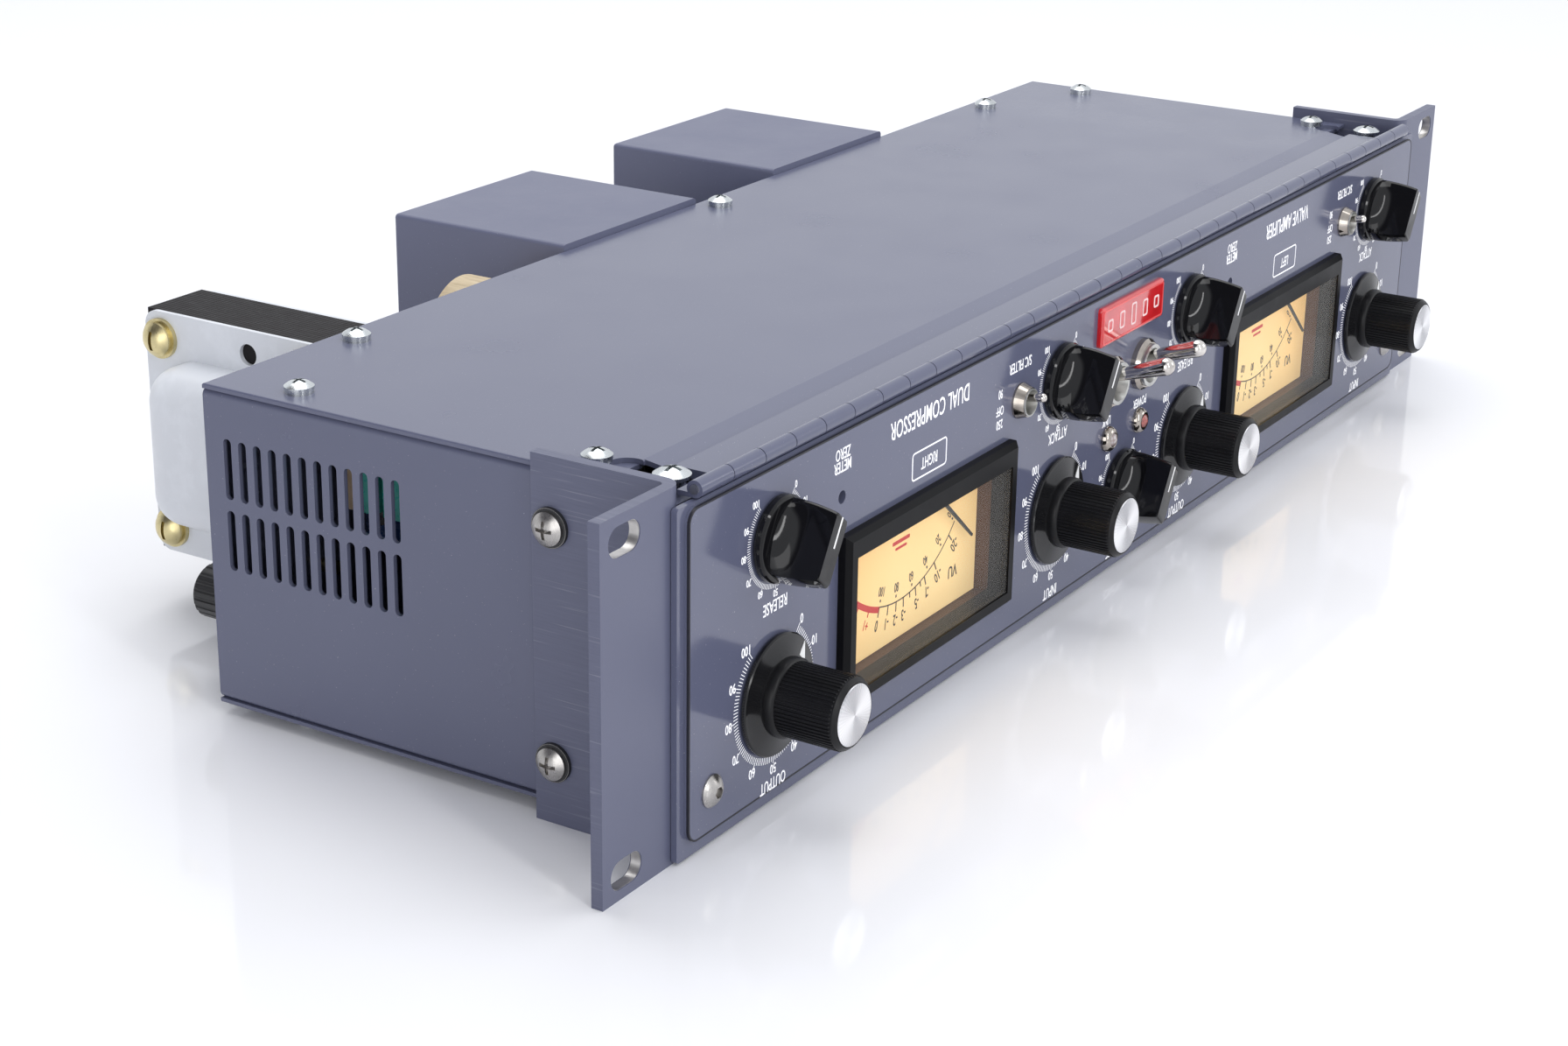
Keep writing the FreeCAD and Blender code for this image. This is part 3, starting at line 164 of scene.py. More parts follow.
class Recipe:
    """The node tree of one finish."""

    def __init__(self, name):
        self.material = bpy.data.materials.new(name)
        self.material.use_nodes = True
        self.tree = self.material.node_tree
        self.tree.nodes.clear()
        self.place = self.add("ShaderNodeTexCoord", out="Object")

    def add(self, kind, settings=None, values=None, out=0):
        node = self.tree.nodes.new(kind)
        for key, value in (settings or {}).items():
            if key == "stops":
                ramp = node.color_ramp
                while len(ramp.elements) < len(value):
                    ramp.elements.new(0.5)
                for element, (position, colour) in zip(ramp.elements, value):
                    element.position = position
                    element.color = (*colour, 1.0)
            else:
                setattr(node, key, value)
        for key, value in (values or {}).items():
            if isinstance(value, Link):
                self.tree.links.new(value.socket, node.inputs[key])
            else:
                node.inputs[key].default_value = value
        return Link(self, node.outputs[out])

    def maths(self, operation, *values):
        return self.add("ShaderNodeMath", {"operation": operation}, dict(enumerate(values)))

    def noise(self, scale, detail=2.0, rough=0.5, place=None):
        return self.add("ShaderNodeTexNoise", None, {"Vector": place or self.place, "Scale": scale,
                                                     "Detail": detail, "Roughness": rough})

    def stretched(self, scale):
        return self.add("ShaderNodeMapping", None, {"Vector": self.place, "Scale": scale})

    def part(self, axis, vector=None):
        return self.add("ShaderNodeSeparateXYZ", None, {"Vector": vector or self.place}, out=axis)

    def ramp(self, value, stops):
        return self.add("ShaderNodeValToRGB", {"stops": stops}, {"Fac": value})

    def limits(self, value, low, high, to_low=0.0, to_high=1.0):
        return self.add("ShaderNodeMapRange", None, {"Value": value, "From Min": low, "From Max": high,
                                                     "To Min": to_low, "To Max": to_high})

    def blend(self, factor, first, second, way="MIX"):
        pick = {"data_type": "RGBA", "blend_type": way}
        first = first if isinstance(first, Link) else (*first[:3], 1.0)
        second = second if isinstance(second, Link) else (*second[:3], 1.0)
        return self.add("ShaderNodeMix", pick, {0: factor, 6: first, 7: second}, out=2)

    def bump(self, height, depth, strength=1.0):
        return self.add("ShaderNodeBump", None, {"Height": height, "Distance": depth, "Strength": strength})

    def surface(self, colour, rough, metal=0.0, **sockets):
        values = {"Base Color": colour if isinstance(colour, Link) else (*colour[:3], 1.0),
                  "Roughness": rough, "Metallic": metal}
        names = {"normal": "Normal", "coat": "Coat Weight", "coat_rough": "Coat Roughness",
                 "alpha": "Alpha", "glow": "Emission Color", "glow_strength": "Emission Strength",
                 "specular": "Specular IOR Level"}
        for key, value in sockets.items():
            values[names[key]] = value
        shader = self.add("ShaderNodeBsdfPrincipled", None, values)
        node = self.tree.nodes.new("ShaderNodeOutputMaterial")
        self.tree.links.new(shader.socket, node.inputs["Surface"])
        return self.material


FINISHES = {}


def finish(maker):
    """Keeps one material for each finish, made the first time it is asked for."""
    def named(*choices):
        key = (maker.__name__,) + choices
        if key not in FINISHES:
            FINISHES[key] = maker(*choices)
        return FINISHES[key]
    return named


def toned(colour, share):
    return [channel * share for channel in colour]


# ---- Finishes ----------------------------------------------------------------------

@finish
def satin_paint(name, tone, rough, peel):
    settings = bpy.context.scene.compressor_paint
    recipe = Recipe(name)
    base = toned(settings.colour, tone)
    cloud = recipe.noise(9.0, 3.0)
    fine = recipe.noise(1700.0, 2.0)
    shade = recipe.limits(cloud, 0.3, 0.7, 0.0, 0.10)
    colour = recipe.blend(shade, base, toned(base, 0.84))
    specks = recipe.noise(2600.0, 1.0)
    dust = recipe.limits(specks, 0.76, 0.80, 0.0, 0.35)
    colour = recipe.blend(dust, colour, (0.62, 0.62, 0.66))
    smudge = recipe.noise(34.0, 4.0, 0.6)
    gloss = rough + recipe.limits(smudge, 0.35, 0.75, -0.03, 0.05)
    skin = recipe.bump(fine * 0.7 + recipe.noise(420.0, 1.0) * 0.6, peel * MM, 0.5)
    return recipe.surface(colour, gloss, 0.0, normal=skin, specular=0.5)


@finish
def ear_paint(name):
    """Paint on sawn stock: fine saw lines run up the leg's outer face and the cut edges."""
    settings = bpy.context.scene.compressor_paint
    recipe = Recipe(name)
    base = list(settings.colour)
    lines = recipe.noise(1.0, 3.0, 0.6, recipe.stretched((900.0, 60.0, 2600.0)))
    across = recipe.noise(1.0, 2.0, 0.6, recipe.stretched((300.0, 30.0, 1500.0)))
    side = recipe.add("ShaderNodeNewGeometry", out="Normal")
    facing = recipe.limits(recipe.maths("ABSOLUTE", recipe.part("Y", side)), 0.3, 0.6, 1.0, 0.0)
    streak = recipe.limits(lines, 0.3, 0.75) * facing
    colour = recipe.blend(streak * 0.28, base, toned(base, 0.68))
    rub = recipe.limits(across, 0.62, 0.72, 0.0, 0.35) * facing
    colour = recipe.blend(rub, colour, (0.36, 0.36, 0.40))
    skin = recipe.bump(lines * facing + recipe.noise(900.0) * 0.3, 0.06 * MM, 0.55)
    return recipe.surface(colour, 0.36 + 0.14 * streak, 0.0, normal=skin)


@finish
def plated_steel(name, colour, rough, scale):
    recipe = Recipe(name)
    stain = recipe.noise(scale, 3.0)
    tint = recipe.blend(recipe.limits(stain, 0.35, 0.7), colour, toned(colour, 0.72))
    scratch = recipe.noise(1.0, 3.0, 0.6, recipe.stretched((2500.0, 2500.0, 400.0)))
    skin = recipe.bump(scratch, 0.02 * MM, 0.4)
    return recipe.surface(tint, rough + recipe.limits(scratch, 0.3, 0.8, 0.0, 0.16), 1.0, normal=skin)


@finish
def polished_metal(name, bright, hazed):
    recipe = Recipe(name)
    haze = recipe.noise(260.0, 3.0)
    tint = recipe.blend(recipe.limits(haze, 0.4, 0.8), bright, hazed)
    return recipe.surface(tint, recipe.limits(haze, 0.3, 0.8, 0.05, 0.16), 1.0,
                          normal=recipe.bump(haze, 0.01 * MM, 0.3))


@finish
def moulded_plastic(name, colour, rough, grain, depth, shine=0.5):
    recipe = Recipe(name)
    fine = recipe.noise(grain, 3.0)
    worn = recipe.noise(90.0, 4.0, 0.65)
    tint = recipe.blend(recipe.limits(worn, 0.5, 0.8, 0.0, 0.35), colour,
                        [min(1.0, channel * 1.35 + 0.004) for channel in colour])
    return recipe.surface(tint, rough + recipe.limits(worn, 0.35, 0.75, -0.03, 0.06), 0.0,
                          normal=recipe.bump(fine, depth * MM, 0.6), specular=shine)


@finish
def spun_aluminium(name):
    """Turned face: fine rings round the knob's axis and a radial sheen held in its own map."""
    recipe = Recipe(name)
    flat = recipe.add("ShaderNodeUVMap", {"uv_map": "disc"})
    radius = recipe.add("ShaderNodeVectorMath", {"operation": "LENGTH"}, {0: flat}, out="Value")
    angle = recipe.maths("ARCTAN2", recipe.part("Y", flat), recipe.part("X", flat))
    rings = recipe.maths("SINE", radius * 190.0)
    fans = recipe.maths("SINE", angle * 2.0 + 0.9)
    rays = recipe.maths("SINE", angle * 46.0)
    sheen = recipe.limits(fans + rays * 0.16, -1.0, 1.1)
    tint = recipe.blend(sheen, (0.46, 0.46, 0.48), (0.93, 0.93, 0.94))
    return recipe.surface(tint, 0.24 + 0.10 * sheen, 1.0, normal=recipe.bump(rings, 0.012 * MM, 0.5))


@finish
def printed_ink(name, colour, glow):
    # Print and painted light: the glow makes the ink shine by itself, brighter than the lamps leave it, and
    # this finish also paints the dark shadow line round the faceplate.
    recipe = Recipe(name)
    wear = recipe.noise(1400.0, 2.0)
    tint = recipe.blend(recipe.limits(wear, 0.6, 0.8, 0.0, 0.22), colour, toned(colour, 0.8))
    return recipe.surface(tint, 0.5, 0.0, glow=(*colour, 1.0), glow_strength=glow)


@finish
def lit_card(name):
    """Cream meter card lit from the movement's side, so it is deeper and more orange there."""
    settings = bpy.context.scene.compressor_meters
    recipe = Recipe(name)
    low, high = span("meter_scales")
    height = recipe.limits(recipe.part("Z"), low.z, high.z)
    across = recipe.maths("ABSOLUTE", recipe.part("X"))
    # Toward the card's sides, away from the needle's line, the colour is painted deeper as well: painted
    # shade at the card's edges.
    offset = recipe.maths("ABSOLUTE", across - abs(middle("right_needle").x))
    edge = recipe.limits(offset, 0.018, 0.042)
    tone = recipe.limits(height * 0.55 + edge * 0.35, 0.1, 0.95)
    warm = list(settings.card_colour)
    deep = list(settings.card_shade)
    colour = recipe.blend(tone, warm, deep)
    fibre = recipe.noise(1500.0, 3.0)
    # The card's glow is painted light: the meter lamp's light laid on the card, which is no lamp itself.
    return recipe.surface(colour, 0.62, 0.0, glow=colour, glow_strength=settings.glow,
                          normal=recipe.bump(fibre, 0.01 * MM, 0.3))


@finish
def clear_pane(name, tint, strength, rim):
    recipe = Recipe(name)
    # At grazing angles the pane turns more opaque and shows its base colour: partly the glass's own tint,
    # partly a painted reflection.
    graze = recipe.add("ShaderNodeLayerWeight", None, {"Blend": 0.5}, out="Facing") ** 5.0
    smear = recipe.noise(60.0, 4.0, 0.6)
    return recipe.surface(tint, recipe.limits(smear, 0.3, 0.8, 0.02, 0.10), 0.0,
                          alpha=recipe.limits(graze, 0.0, 1.0, strength, rim))


@finish
def core_sheets(name):
    """Edges of stacked core sheets: thin dark lines with a brown varnish in the gaps."""
    recipe = Recipe(name)
    stack = recipe.part("X") * 2600.0
    line = recipe.maths("SINE", stack * 2.4)
    spread = recipe.noise(1.0, 3.0, 0.6, recipe.stretched((2600.0, 160.0, 160.0)))
    tint = recipe.ramp(spread, [(0.25, (0.006, 0.005, 0.006)), (0.6, (0.015, 0.013, 0.014)),
                                (0.85, (0.040, 0.031, 0.028))])
    return recipe.surface(tint, 0.46 + recipe.limits(spread, 0.3, 0.8, 0.0, 0.25), 0.0,
                          normal=recipe.bump(line + spread, 0.12 * MM, 0.8), specular=0.16)


@finish
def circuit_laminate(name):
    recipe = Recipe(name)
    tracks = recipe.add("ShaderNodeTexBrick", None, {"Vector": recipe.place, "Scale": 90.0,
                                                     "Color1": (0.01, 0.16, 0.12, 1.0),
                                                     "Color2": (0.02, 0.21, 0.16, 1.0),
                                                     "Mortar": (0.03, 0.10, 0.08, 1.0)})
    return recipe.surface(tracks, 0.3, 0.0, normal=recipe.bump(recipe.noise(700.0), 0.03 * MM))


@finish
def taped_coil(name):
    recipe = Recipe(name)
    wraps = recipe.maths("SINE", recipe.part("Z") * 1900.0)
    tint = recipe.blend(recipe.limits(wraps, -1.0, 1.0), (0.55, 0.40, 0.10), (0.70, 0.55, 0.20))
    return recipe.surface(tint, 0.4, 0.0, normal=recipe.bump(wraps, 0.2 * MM))


@finish
def tinted_parts(name, first, second, rough):
    """Small parts whose colour changes from one to the next."""
    recipe = Recipe(name)
    patch = recipe.add("ShaderNodeTexVoronoi", None, {"Vector": recipe.place, "Scale": 46.0}, out="Color")
    pick = recipe.add("ShaderNodeSeparateColor", None, {0: patch})
    fine = recipe.noise(900.0)
    tint = recipe.blend(recipe.limits(pick, 0.35, 0.65), first, second)
    return recipe.surface(tint, rough + recipe.limits(fine, 0.3, 0.8, -0.05, 0.1), 0.0,
                          normal=recipe.bump(fine, 0.03 * MM))


@finish
def card_sleeve(name):
    recipe = Recipe(name)
    fibre = recipe.noise(1.0, 4.0, 0.6, recipe.stretched((900.0, 120.0, 900.0)))
    tint = recipe.ramp(fibre, [(0.3, (0.42, 0.33, 0.21)), (0.55, (0.58, 0.47, 0.31)),
                               (0.8, (0.68, 0.58, 0.42))])
    return recipe.surface(tint, 0.7, 0.0, normal=recipe.bump(fibre, 0.06 * MM, 0.6))


@finish
def domed_resin(name):
    recipe = Recipe(name)
    cloud = recipe.noise(150.0, 2.0)
    tint = recipe.blend(recipe.limits(cloud, 0.3, 0.7), (0.62, 0.012, 0.018), (0.46, 0.006, 0.010))
    # The red glow is painted light: the badge shines by itself though it is no lamp.
    return recipe.surface(tint, 0.10, 0.0, coat=1.0, coat_rough=0.04, glow=(0.5, 0.01, 0.01, 1.0),
                          glow_strength=0.12, normal=recipe.bump(recipe.noise(160.0), 0.05 * MM, 0.4))


@finish
def lamp_jewel(name):
    recipe = Recipe(name)
    facets = recipe.add("ShaderNodeTexVoronoi", None, {"Vector": recipe.place, "Scale": 1100.0})
    colour = recipe.blend(recipe.part("X") > 0.0, (0.55, 0.53, 0.52), (0.50, 0.13, 0.11))
    tint = recipe.blend(recipe.limits(facets, 0.1, 0.7, 0.0, 0.6), colour, (0.16, 0.05, 0.05))
    return recipe.surface(tint, 0.16, 0.0, coat=0.6, normal=recipe.bump(facets, 0.2 * MM))


# ---- Mesh helpers --------------------------------------------------------------------

def piece(name, mesh, material, body, keep_angle=30.0):
    mesh.name = name
    mesh.materials.clear()
    mesh.materials.append(material)
    mesh.shade_smooth()
    mesh.set_sharp_from_angle(angle=math.radians(keep_angle))
    thing = bpy.data.objects.new(name, mesh)
    bpy.context.scene.collection.objects.link(thing)
    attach(thing, body)
    return thing


def from_bmesh(shape):
    bmesh.ops.recalc_face_normals(shape, faces=shape.faces[:])
    mesh = bpy.data.meshes.new("shape")
    shape.to_mesh(mesh)
    shape.free()
    return mesh


def joined(meshes):
    shape = bmesh.new()
    for mesh in meshes:
        shape.from_mesh(mesh)
    mesh = bpy.data.meshes.new("joined")
    shape.to_mesh(mesh)
    shape.free()
    return mesh


def lathe(profile, centre, steps=64):
    """Turned shape about the outward axis; the profile is (radius, height) in mm.

    It runs from axis to axis, or ends where it starts to make a ring.
    """
    shape = bmesh.new()
    rings = []
    for radius, height in profile:
        if radius <= 1e-6:
            rings.append([shape.verts.new((centre.x, centre.y - height * MM, centre.z))])
            continue
        ring = []
        for step in range(steps):
            angle = 2 * math.pi * step / steps
            ring.append(shape.verts.new((centre.x + radius * MM * math.cos(angle), centre.y - height * MM,
                                         centre.z + radius * MM * math.sin(angle))))
        rings.append(ring)
    for first, second in zip(rings, rings[1:]):
        for step in range(steps):
            after = (step + 1) % steps
            corners = [first[step % len(first)], first[after % len(first)],
                       second[after % len(second)], second[step % len(second)]]
            unique = list(dict.fromkeys(corners))
            if len(unique) > 2:
                shape.faces.new(unique)
    return from_bmesh(shape)


def stitch(shape, first, second, closed=True):
    """Joins two matching runs of corners with faces."""
    count = len(first)
    for index in range(count if closed else count - 1):
        after = (index + 1) % count
        shape.faces.new((first[index], first[after], second[after], second[index]))


def prism(first, second):
    """Closed solid between two matching rings of (x, y, z) corners, in metres."""
    shape = bmesh.new()
    front = [shape.verts.new(corner) for corner in first]
    back = [shape.verts.new(corner) for corner in second]
    shape.faces.new(front)
    shape.faces.new(back[::-1])
    stitch(shape, front, back)
    return from_bmesh(shape)


def slab(outline, y0, y1):
    """Flat plate with the outline (x, z) given in metres, between two depths."""
    return prism([(x, y0, z) for x, z in outline], [(x, y1, z) for x, z in outline])


def ribbon(points_in, points_out, y0, y1, closed=True):
    """Band between two matching runs of (x, z) points, in metres, between two depths."""
    shape = bmesh.new()
    rows = []
    for run, depth in ((points_in, y0), (points_out, y0), (points_out, y1), (points_in, y1)):
        rows.append([shape.verts.new((x, depth, z)) for x, z in run])
    for first, second in zip(rows, rows[1:] + rows[:1]):
        stitch(shape, first, second, closed)
    if not closed:
        shape.faces.new([row[0] for row in rows])
        shape.faces.new([row[-1] for row in rows][::-1])
    return from_bmesh(shape)


def rounded_outline(x, z, half_x, half_z, radius, steps=8):
    points = []
    for sx, sz, start in ((1, 1, 0), (-1, 1, 90), (-1, -1, 180), (1, -1, 270)):
        for step in range(steps + 1):
            angle = math.radians(start + 90 * step / steps)
            points.append((x + sx * (half_x - radius) + radius * math.cos(angle),
                           z + sz * (half_z - radius) + radius * math.sin(angle)))
    return points


def words(text, height, x, z, y, squeeze, lean=0.0, weight=0.0):
    """Raised print on a front face, read after half a turn; height is that of a capital, in mm."""
    curve = bpy.data.curves.new("print", "FONT")
    curve.body = text
    curve.align_x = "CENTER"
    curve.align_y = "CENTER"
    curve.size = height * MM / CAPITAL_SHARE
    curve.extrude = PRINT_HALF * MM
    curve.offset = weight * MM
    curve.resolution_u = 3
    holder = bpy.data.objects.new("print", curve)
    bpy.context.scene.collection.objects.link(holder)
    bpy.context.view_layer.update()
    mesh = bpy.data.meshes.new_from_object(holder.evaluated_get(bpy.context.evaluated_depsgraph_get()))
    bpy.data.objects.remove(holder)
    bpy.data.curves.remove(curve)
    stand = Matrix(((1, 0, 0, 0), (0, 0, -1, 0), (0, 1, 0, 0), (0, 0, 0, 1)))
    turn = Matrix.Rotation(math.pi + lean, 4, "Y")
    mesh.transform(Matrix.Translation((x, y, z)) @ turn @ stand @ Matrix.Diagonal((squeeze, 1, 1, 1)))
    return mesh


# ---- Geometry Nodes --------------------------------------------------------------------

def ring_tree():
    """Copies of one shape set round an arc, every so many of them longer."""
    tree = bpy.data.node_groups.get("ring_of_shapes")
    if tree:
        return tree
    tree = bpy.data.node_groups.new("ring_of_shapes", "GeometryNodeTree")
    face = tree.interface
    face.new_socket("Geometry", in_out="INPUT", socket_type="NodeSocketGeometry")
    for label, kind in (("Shape", "Object"), ("Count", "Int"), ("Start", "Float"), ("Step", "Float"),
                        ("Radius", "Float"), ("Long Every", "Int"), ("Long Scale", "Float"),
                        ("Centre", "Vector"), ("Material", "Material")):
        face.new_socket(label, in_out="INPUT", socket_type="NodeSocket" + kind)
    face.new_socket("Geometry", in_out="OUTPUT", socket_type="NodeSocketGeometry")

    def add(kind, values, out=0, **settings):
        node = tree.nodes.new(kind)
        for key, value in settings.items():
            setattr(node, key, value)
        for key, value in values.items():
            if isinstance(value, bpy.types.NodeSocket):
                tree.links.new(value, node.inputs[key])
            else:
                node.inputs[key].default_value = value
        return node.outputs[out]

    given = tree.nodes.new("NodeGroupInput").outputs
    line = add("GeometryNodeMeshLine", {"Count": given["Count"], "Offset": (0, 0, 0)})
    index = add("GeometryNodeInputIndex", {})
    angle = add("ShaderNodeMath", {0: index, 1: given["Step"], 2: given["Start"]}, operation="MULTIPLY_ADD")
    across = add("ShaderNodeMath", {0: angle}, operation="SINE")
    rise = add("ShaderNodeMath", {0: angle}, operation="COSINE")
    direction = add("ShaderNodeCombineXYZ", {"X": across, "Z": rise})
    reach = add("ShaderNodeVectorMath", {0: direction, "Scale": given["Radius"]}, operation="SCALE")
    spots = add("GeometryNodeSetPosition", {"Geometry": line, "Position": reach})
    turn = add("ShaderNodeCombineXYZ", {"Y": angle})
    shape = add("GeometryNodeObjectInfo", {"Object": given["Shape"]}, "Geometry")
    left = add("ShaderNodeMath", {0: index, 1: given["Long Every"]}, operation="MODULO")
    plain = add("ShaderNodeMath", {0: left, 1: 0.5}, operation="GREATER_THAN")
    stretch = add("ShaderNodeMix", {0: plain, 2: given["Long Scale"], 3: 1.0}, data_type="FLOAT")
    scale = add("ShaderNodeCombineXYZ", {"X": 1.0, "Y": 1.0, "Z": stretch})
    copies = add("GeometryNodeInstanceOnPoints", {"Points": spots, "Instance": shape, "Rotation": turn,
                                                  "Scale": scale})
    whole = add("GeometryNodeRealizeInstances", {"Geometry": copies})
    moved = add("GeometryNodeTransform", {"Geometry": whole, "Translation": given["Centre"]})
    dressed = add("GeometryNodeSetMaterial", {"Geometry": moved, "Material": given["Material"]})
    tree.links.new(dressed, tree.nodes.new("NodeGroupOutput").inputs[0])
    return tree


def ring_of(shape, material, centre, count, start, step, radius, long_every=1, long_scale=1.0):
    """Runs the ring tree once and gives its plain mesh."""
    tree = ring_tree()
    pattern = bpy.data.objects.new("pattern", shape)
    host = bpy.data.objects.new("ring", bpy.data.meshes.new("ring"))
    for thing in (pattern, host):
        bpy.context.scene.collection.objects.link(thing)
    modifier = host.modifiers.new("ring", "NODES")
    modifier.node_group = tree
    inputs = {"Shape": pattern, "Count": count, "Start": start, "Step": step, "Radius": radius,
              "Long Every": long_every, "Long Scale": long_scale, "Centre": tuple(centre),
              "Material": material}
    for item in tree.interface.items_tree:
        if item.in_out == "INPUT" and item.name in inputs:
            modifier[item.identifier] = inputs[item.name]
    bpy.context.view_layer.update()
    mesh = bpy.data.meshes.new_from_object(host.evaluated_get(bpy.context.evaluated_depsgraph_get()))
    host.modifiers.clear()
    for thing in (host, pattern):
        bpy.data.objects.remove(thing)
    return mesh


def bar_shape(width, depth, length, inner=0.0):
    """Small upright bar standing out from its ring radius, in mm."""
    half, low, high = width * MM / 2, inner * MM, (inner + length) * MM
    return slab([(-half, low), (half, low), (half, high), (-half, high)], -depth * MM / 2, depth * MM / 2)


# ---- Settings ----------------------------------------------------------------------------

def colour_value(label, note, default):
    return FloatVectorProperty(name=label, description=note, default=default, subtype="COLOR", min=0.0,
                               max=1.0)


def number(label, note, default, **more):
    return FloatProperty(name=label, description=note, default=default, **more)


def count_of(label, note, default, least):
    return IntProperty(name=label, description=note, default=default, min=least)


class PaintSettings(bpy.types.PropertyGroup):
    colour: colour_value("Paint", "Blue-grey enamel of the case and the door", (0.110, 0.118, 0.183))
    front_tone: number("Door tone", "Door paint against the case paint", 1.0)
    roughness: number("Paint roughness", "Lower is glossier", 0.24, min=0, max=1)
    peel: number("Orange peel", "Depth of the paint's skin in millimetres", 0.035)


class PrintSettings(bpy.types.PropertyGroup):
    ink: colour_value("Ink", "Colour of the panel print", (0.92, 0.92, 0.94))
    capital: number("Capital height", "Height of the small labels in mm", 3.0)
    title: number("Title height", "Height of the title words in mm", 4.6)
    numeral: number("Numeral height", "Height of the dial numbers in mm", 2.4)
    squeeze: number("Squeeze", "Width of a letter against its height", 0.66)
    numeral_squeeze: number("Numeral squeeze", "Width of a dial number", 0.80)
    weight: number("Stroke weight", "Thickening of a letter's stroke in mm", 0.03)


class DialSettings(bpy.types.PropertyGroup):
    divisions: count_of("Divisions", "Fine marks on each dial", 100, 10)
    round_radius: number("Round knob dial", "Inner radius of its marks in mm", 15.1)
    bar_radius: number("Bar knob dial", "Inner radius of its marks in mm", 10.6)
    mark: number("Mark length", "Length of a fine mark in mm", 1.7)
    mark_width: number("Mark width", "Width of a mark in mm", 0.18)


class KnobSettings(bpy.types.PropertyGroup):
    skirt_radius: number("Skirt radius", "Round knob's skirt in mm", 14.6)
    grip_radius: number("Grip radius", "Round knob's fluted grip in mm", 8.9)
    length: number("Length", "Round knob's length in mm", 20.8)
    flutes: count_of("Flutes", "Ribs round the grip", 56, 8)
    cap_radius: number("Cap radius", "Spun cap in mm", 7.3)
    bar_radius: number("Bar knob radius", "Bar knob's disc in mm", 10.2)
    bar_length: number("Bar knob length", "Bar knob's length in mm", 14.4)


class MeterSettings(bpy.types.PropertyGroup):
    card_colour: colour_value("Card", "Lit card near the numbers", (0.92, 0.66, 0.30))
    card_shade: colour_value("Card shade", "Lit card near the movement", (0.86, 0.50, 0.16))
    # The meter lamp's light is painted on the card as this glow.
    glow: number("Glow", "Strength of the meter's lamp", 0.32, min=0)
    arc_radius: number("Arc radius", "Scale arc about the needle's pivot in mm", 36.0)
    rest_turn: number("Rest", "Needle's turn from plumb at rest", math.radians(49),
                             subtype="ANGLE")
    full_turn: number("Full scale", "Turn from rest to the zero mark", math.radians(65), subtype="ANGLE")


class StageSettings(bpy.types.PropertyGroup):
    floor: colour_value("Floor", "Plain pale floor", (0.90, 0.90, 0.92))
    sky: number("Fill light", "Brightness of the white surround", 1.03)
    key: number("Key light", "Power of the overhead panel", 9.0, subtype="POWER")
    lens: number("Lens", "Focal length on a 36 mm frame", 65.21)


GROUPS = {"compressor_paint": PaintSettings, "compressor_print": PrintSettings,
          "compressor_dials": DialSettings, "compressor_knobs": KnobSettings,
          "compressor_meters": MeterSettings, "compressor_stage": StageSettings}


def dress(material, *names):
    """Gives a carried-over part its finish."""
    for name in names:
        mesh = NODES[name].data
        if not mesh.materials:
            mesh.materials.append(material)
        for index in range(len(mesh.materials)):
            mesh.materials[index] = material


def centre_of_knob(name):
    centre = middle(name + "_knob")
    centre.y = 0.0
    return centre


# ---- Operators ------------------------------------------------------------------------------

class COMPRESSOR_OT_case(bpy.types.Operator):
    """Paint the case, its covers and ears, and plate its screws"""
    bl_idname = "compressor.case"
    bl_label = "Case and ears"

    def execute(self, context):
        paint = context.scene.compressor_paint
        dress(satin_paint("case_enamel", 1.0, paint.roughness, paint.peel),
              "case_shell", "upper_cover", "lower_cover")
        dress(ear_paint("ear_enamel"), "right_channel_ear", "left_channel_ear")
        dress(plated_steel("zinc_plate", (0.66, 0.69, 0.70), 0.20, 160.0), "cover_screws")
        dress(plated_steel("stainless_heads", (0.52, 0.50, 0.48), 0.24, 160.0), "ear_screws", "door_screws")
        self.line_slots()
        self.rubber_washers()
        return {"FINISHED"}

    def line_slots(self):
        """Bare metal lining inside the ears' rack slots."""
        pattern = frame["record"]["mounts"][0]["dims"]
        reach_x = pattern["spacing_x_mm"] / 2 * MM
        reach_z = pattern["spacing_y_mm"] / 2 * MM
        half_x = pattern["slot_length_mm"] / 2 * MM
        half_z = pattern["hole_r_mm"] * MM
        corner = half_z * 0.995
        wall = LINING_WALL * MM
        metal = plated_steel("bare_ear_steel", (0.70, 0.68, 0.66), 0.34, 300.0)
        meshes = []
        for sx in (-1, 1):
            for sz in (-1, 1):
                outer = rounded_outline(sx * reach_x, sz * reach_z, half_x, half_z, corner, 12)
                inner = rounded_outline(sx * reach_x, sz * reach_z, half_x - wall, half_z - wall,
                                        corner - wall, 12)
                meshes.append(ribbon(inner, outer, 0.25 * MM, 2.75 * MM))
        piece("slot_linings", joined(meshes), metal, "case", 60.0)

    def rubber_washers(self):
        """Black rubber washers under the ears' screws."""
        low, high = span("ear_screws")
        rubber = moulded_plastic("black_washer", (0.02, 0.02, 0.022), 0.5, 800.0, 0.03)
        heights = (low.z + WASHER_INSET * MM, high.z - WASHER_INSET * MM)
        meshes = []
        for side in (-1, 1):
            for height in heights:
                ring = lathe([(2.2, 0), (4.7, 0), (4.7, 0.85), (4.3, 0.98), (2.2, 0.98), (2.2, 0)],
                             Vector((0, 0, 0)), 48)
                aim = Matrix.Rotation(math.radians(90) * side, 4, "Z")
                place = Vector((side * WASHER_FACE * MM, WASHER_Y * MM, height))
                ring.transform(Matrix.Translation(place) @ aim)
                meshes.append(ring)
        piece("ear_washers", joined(meshes), rubber, "case")


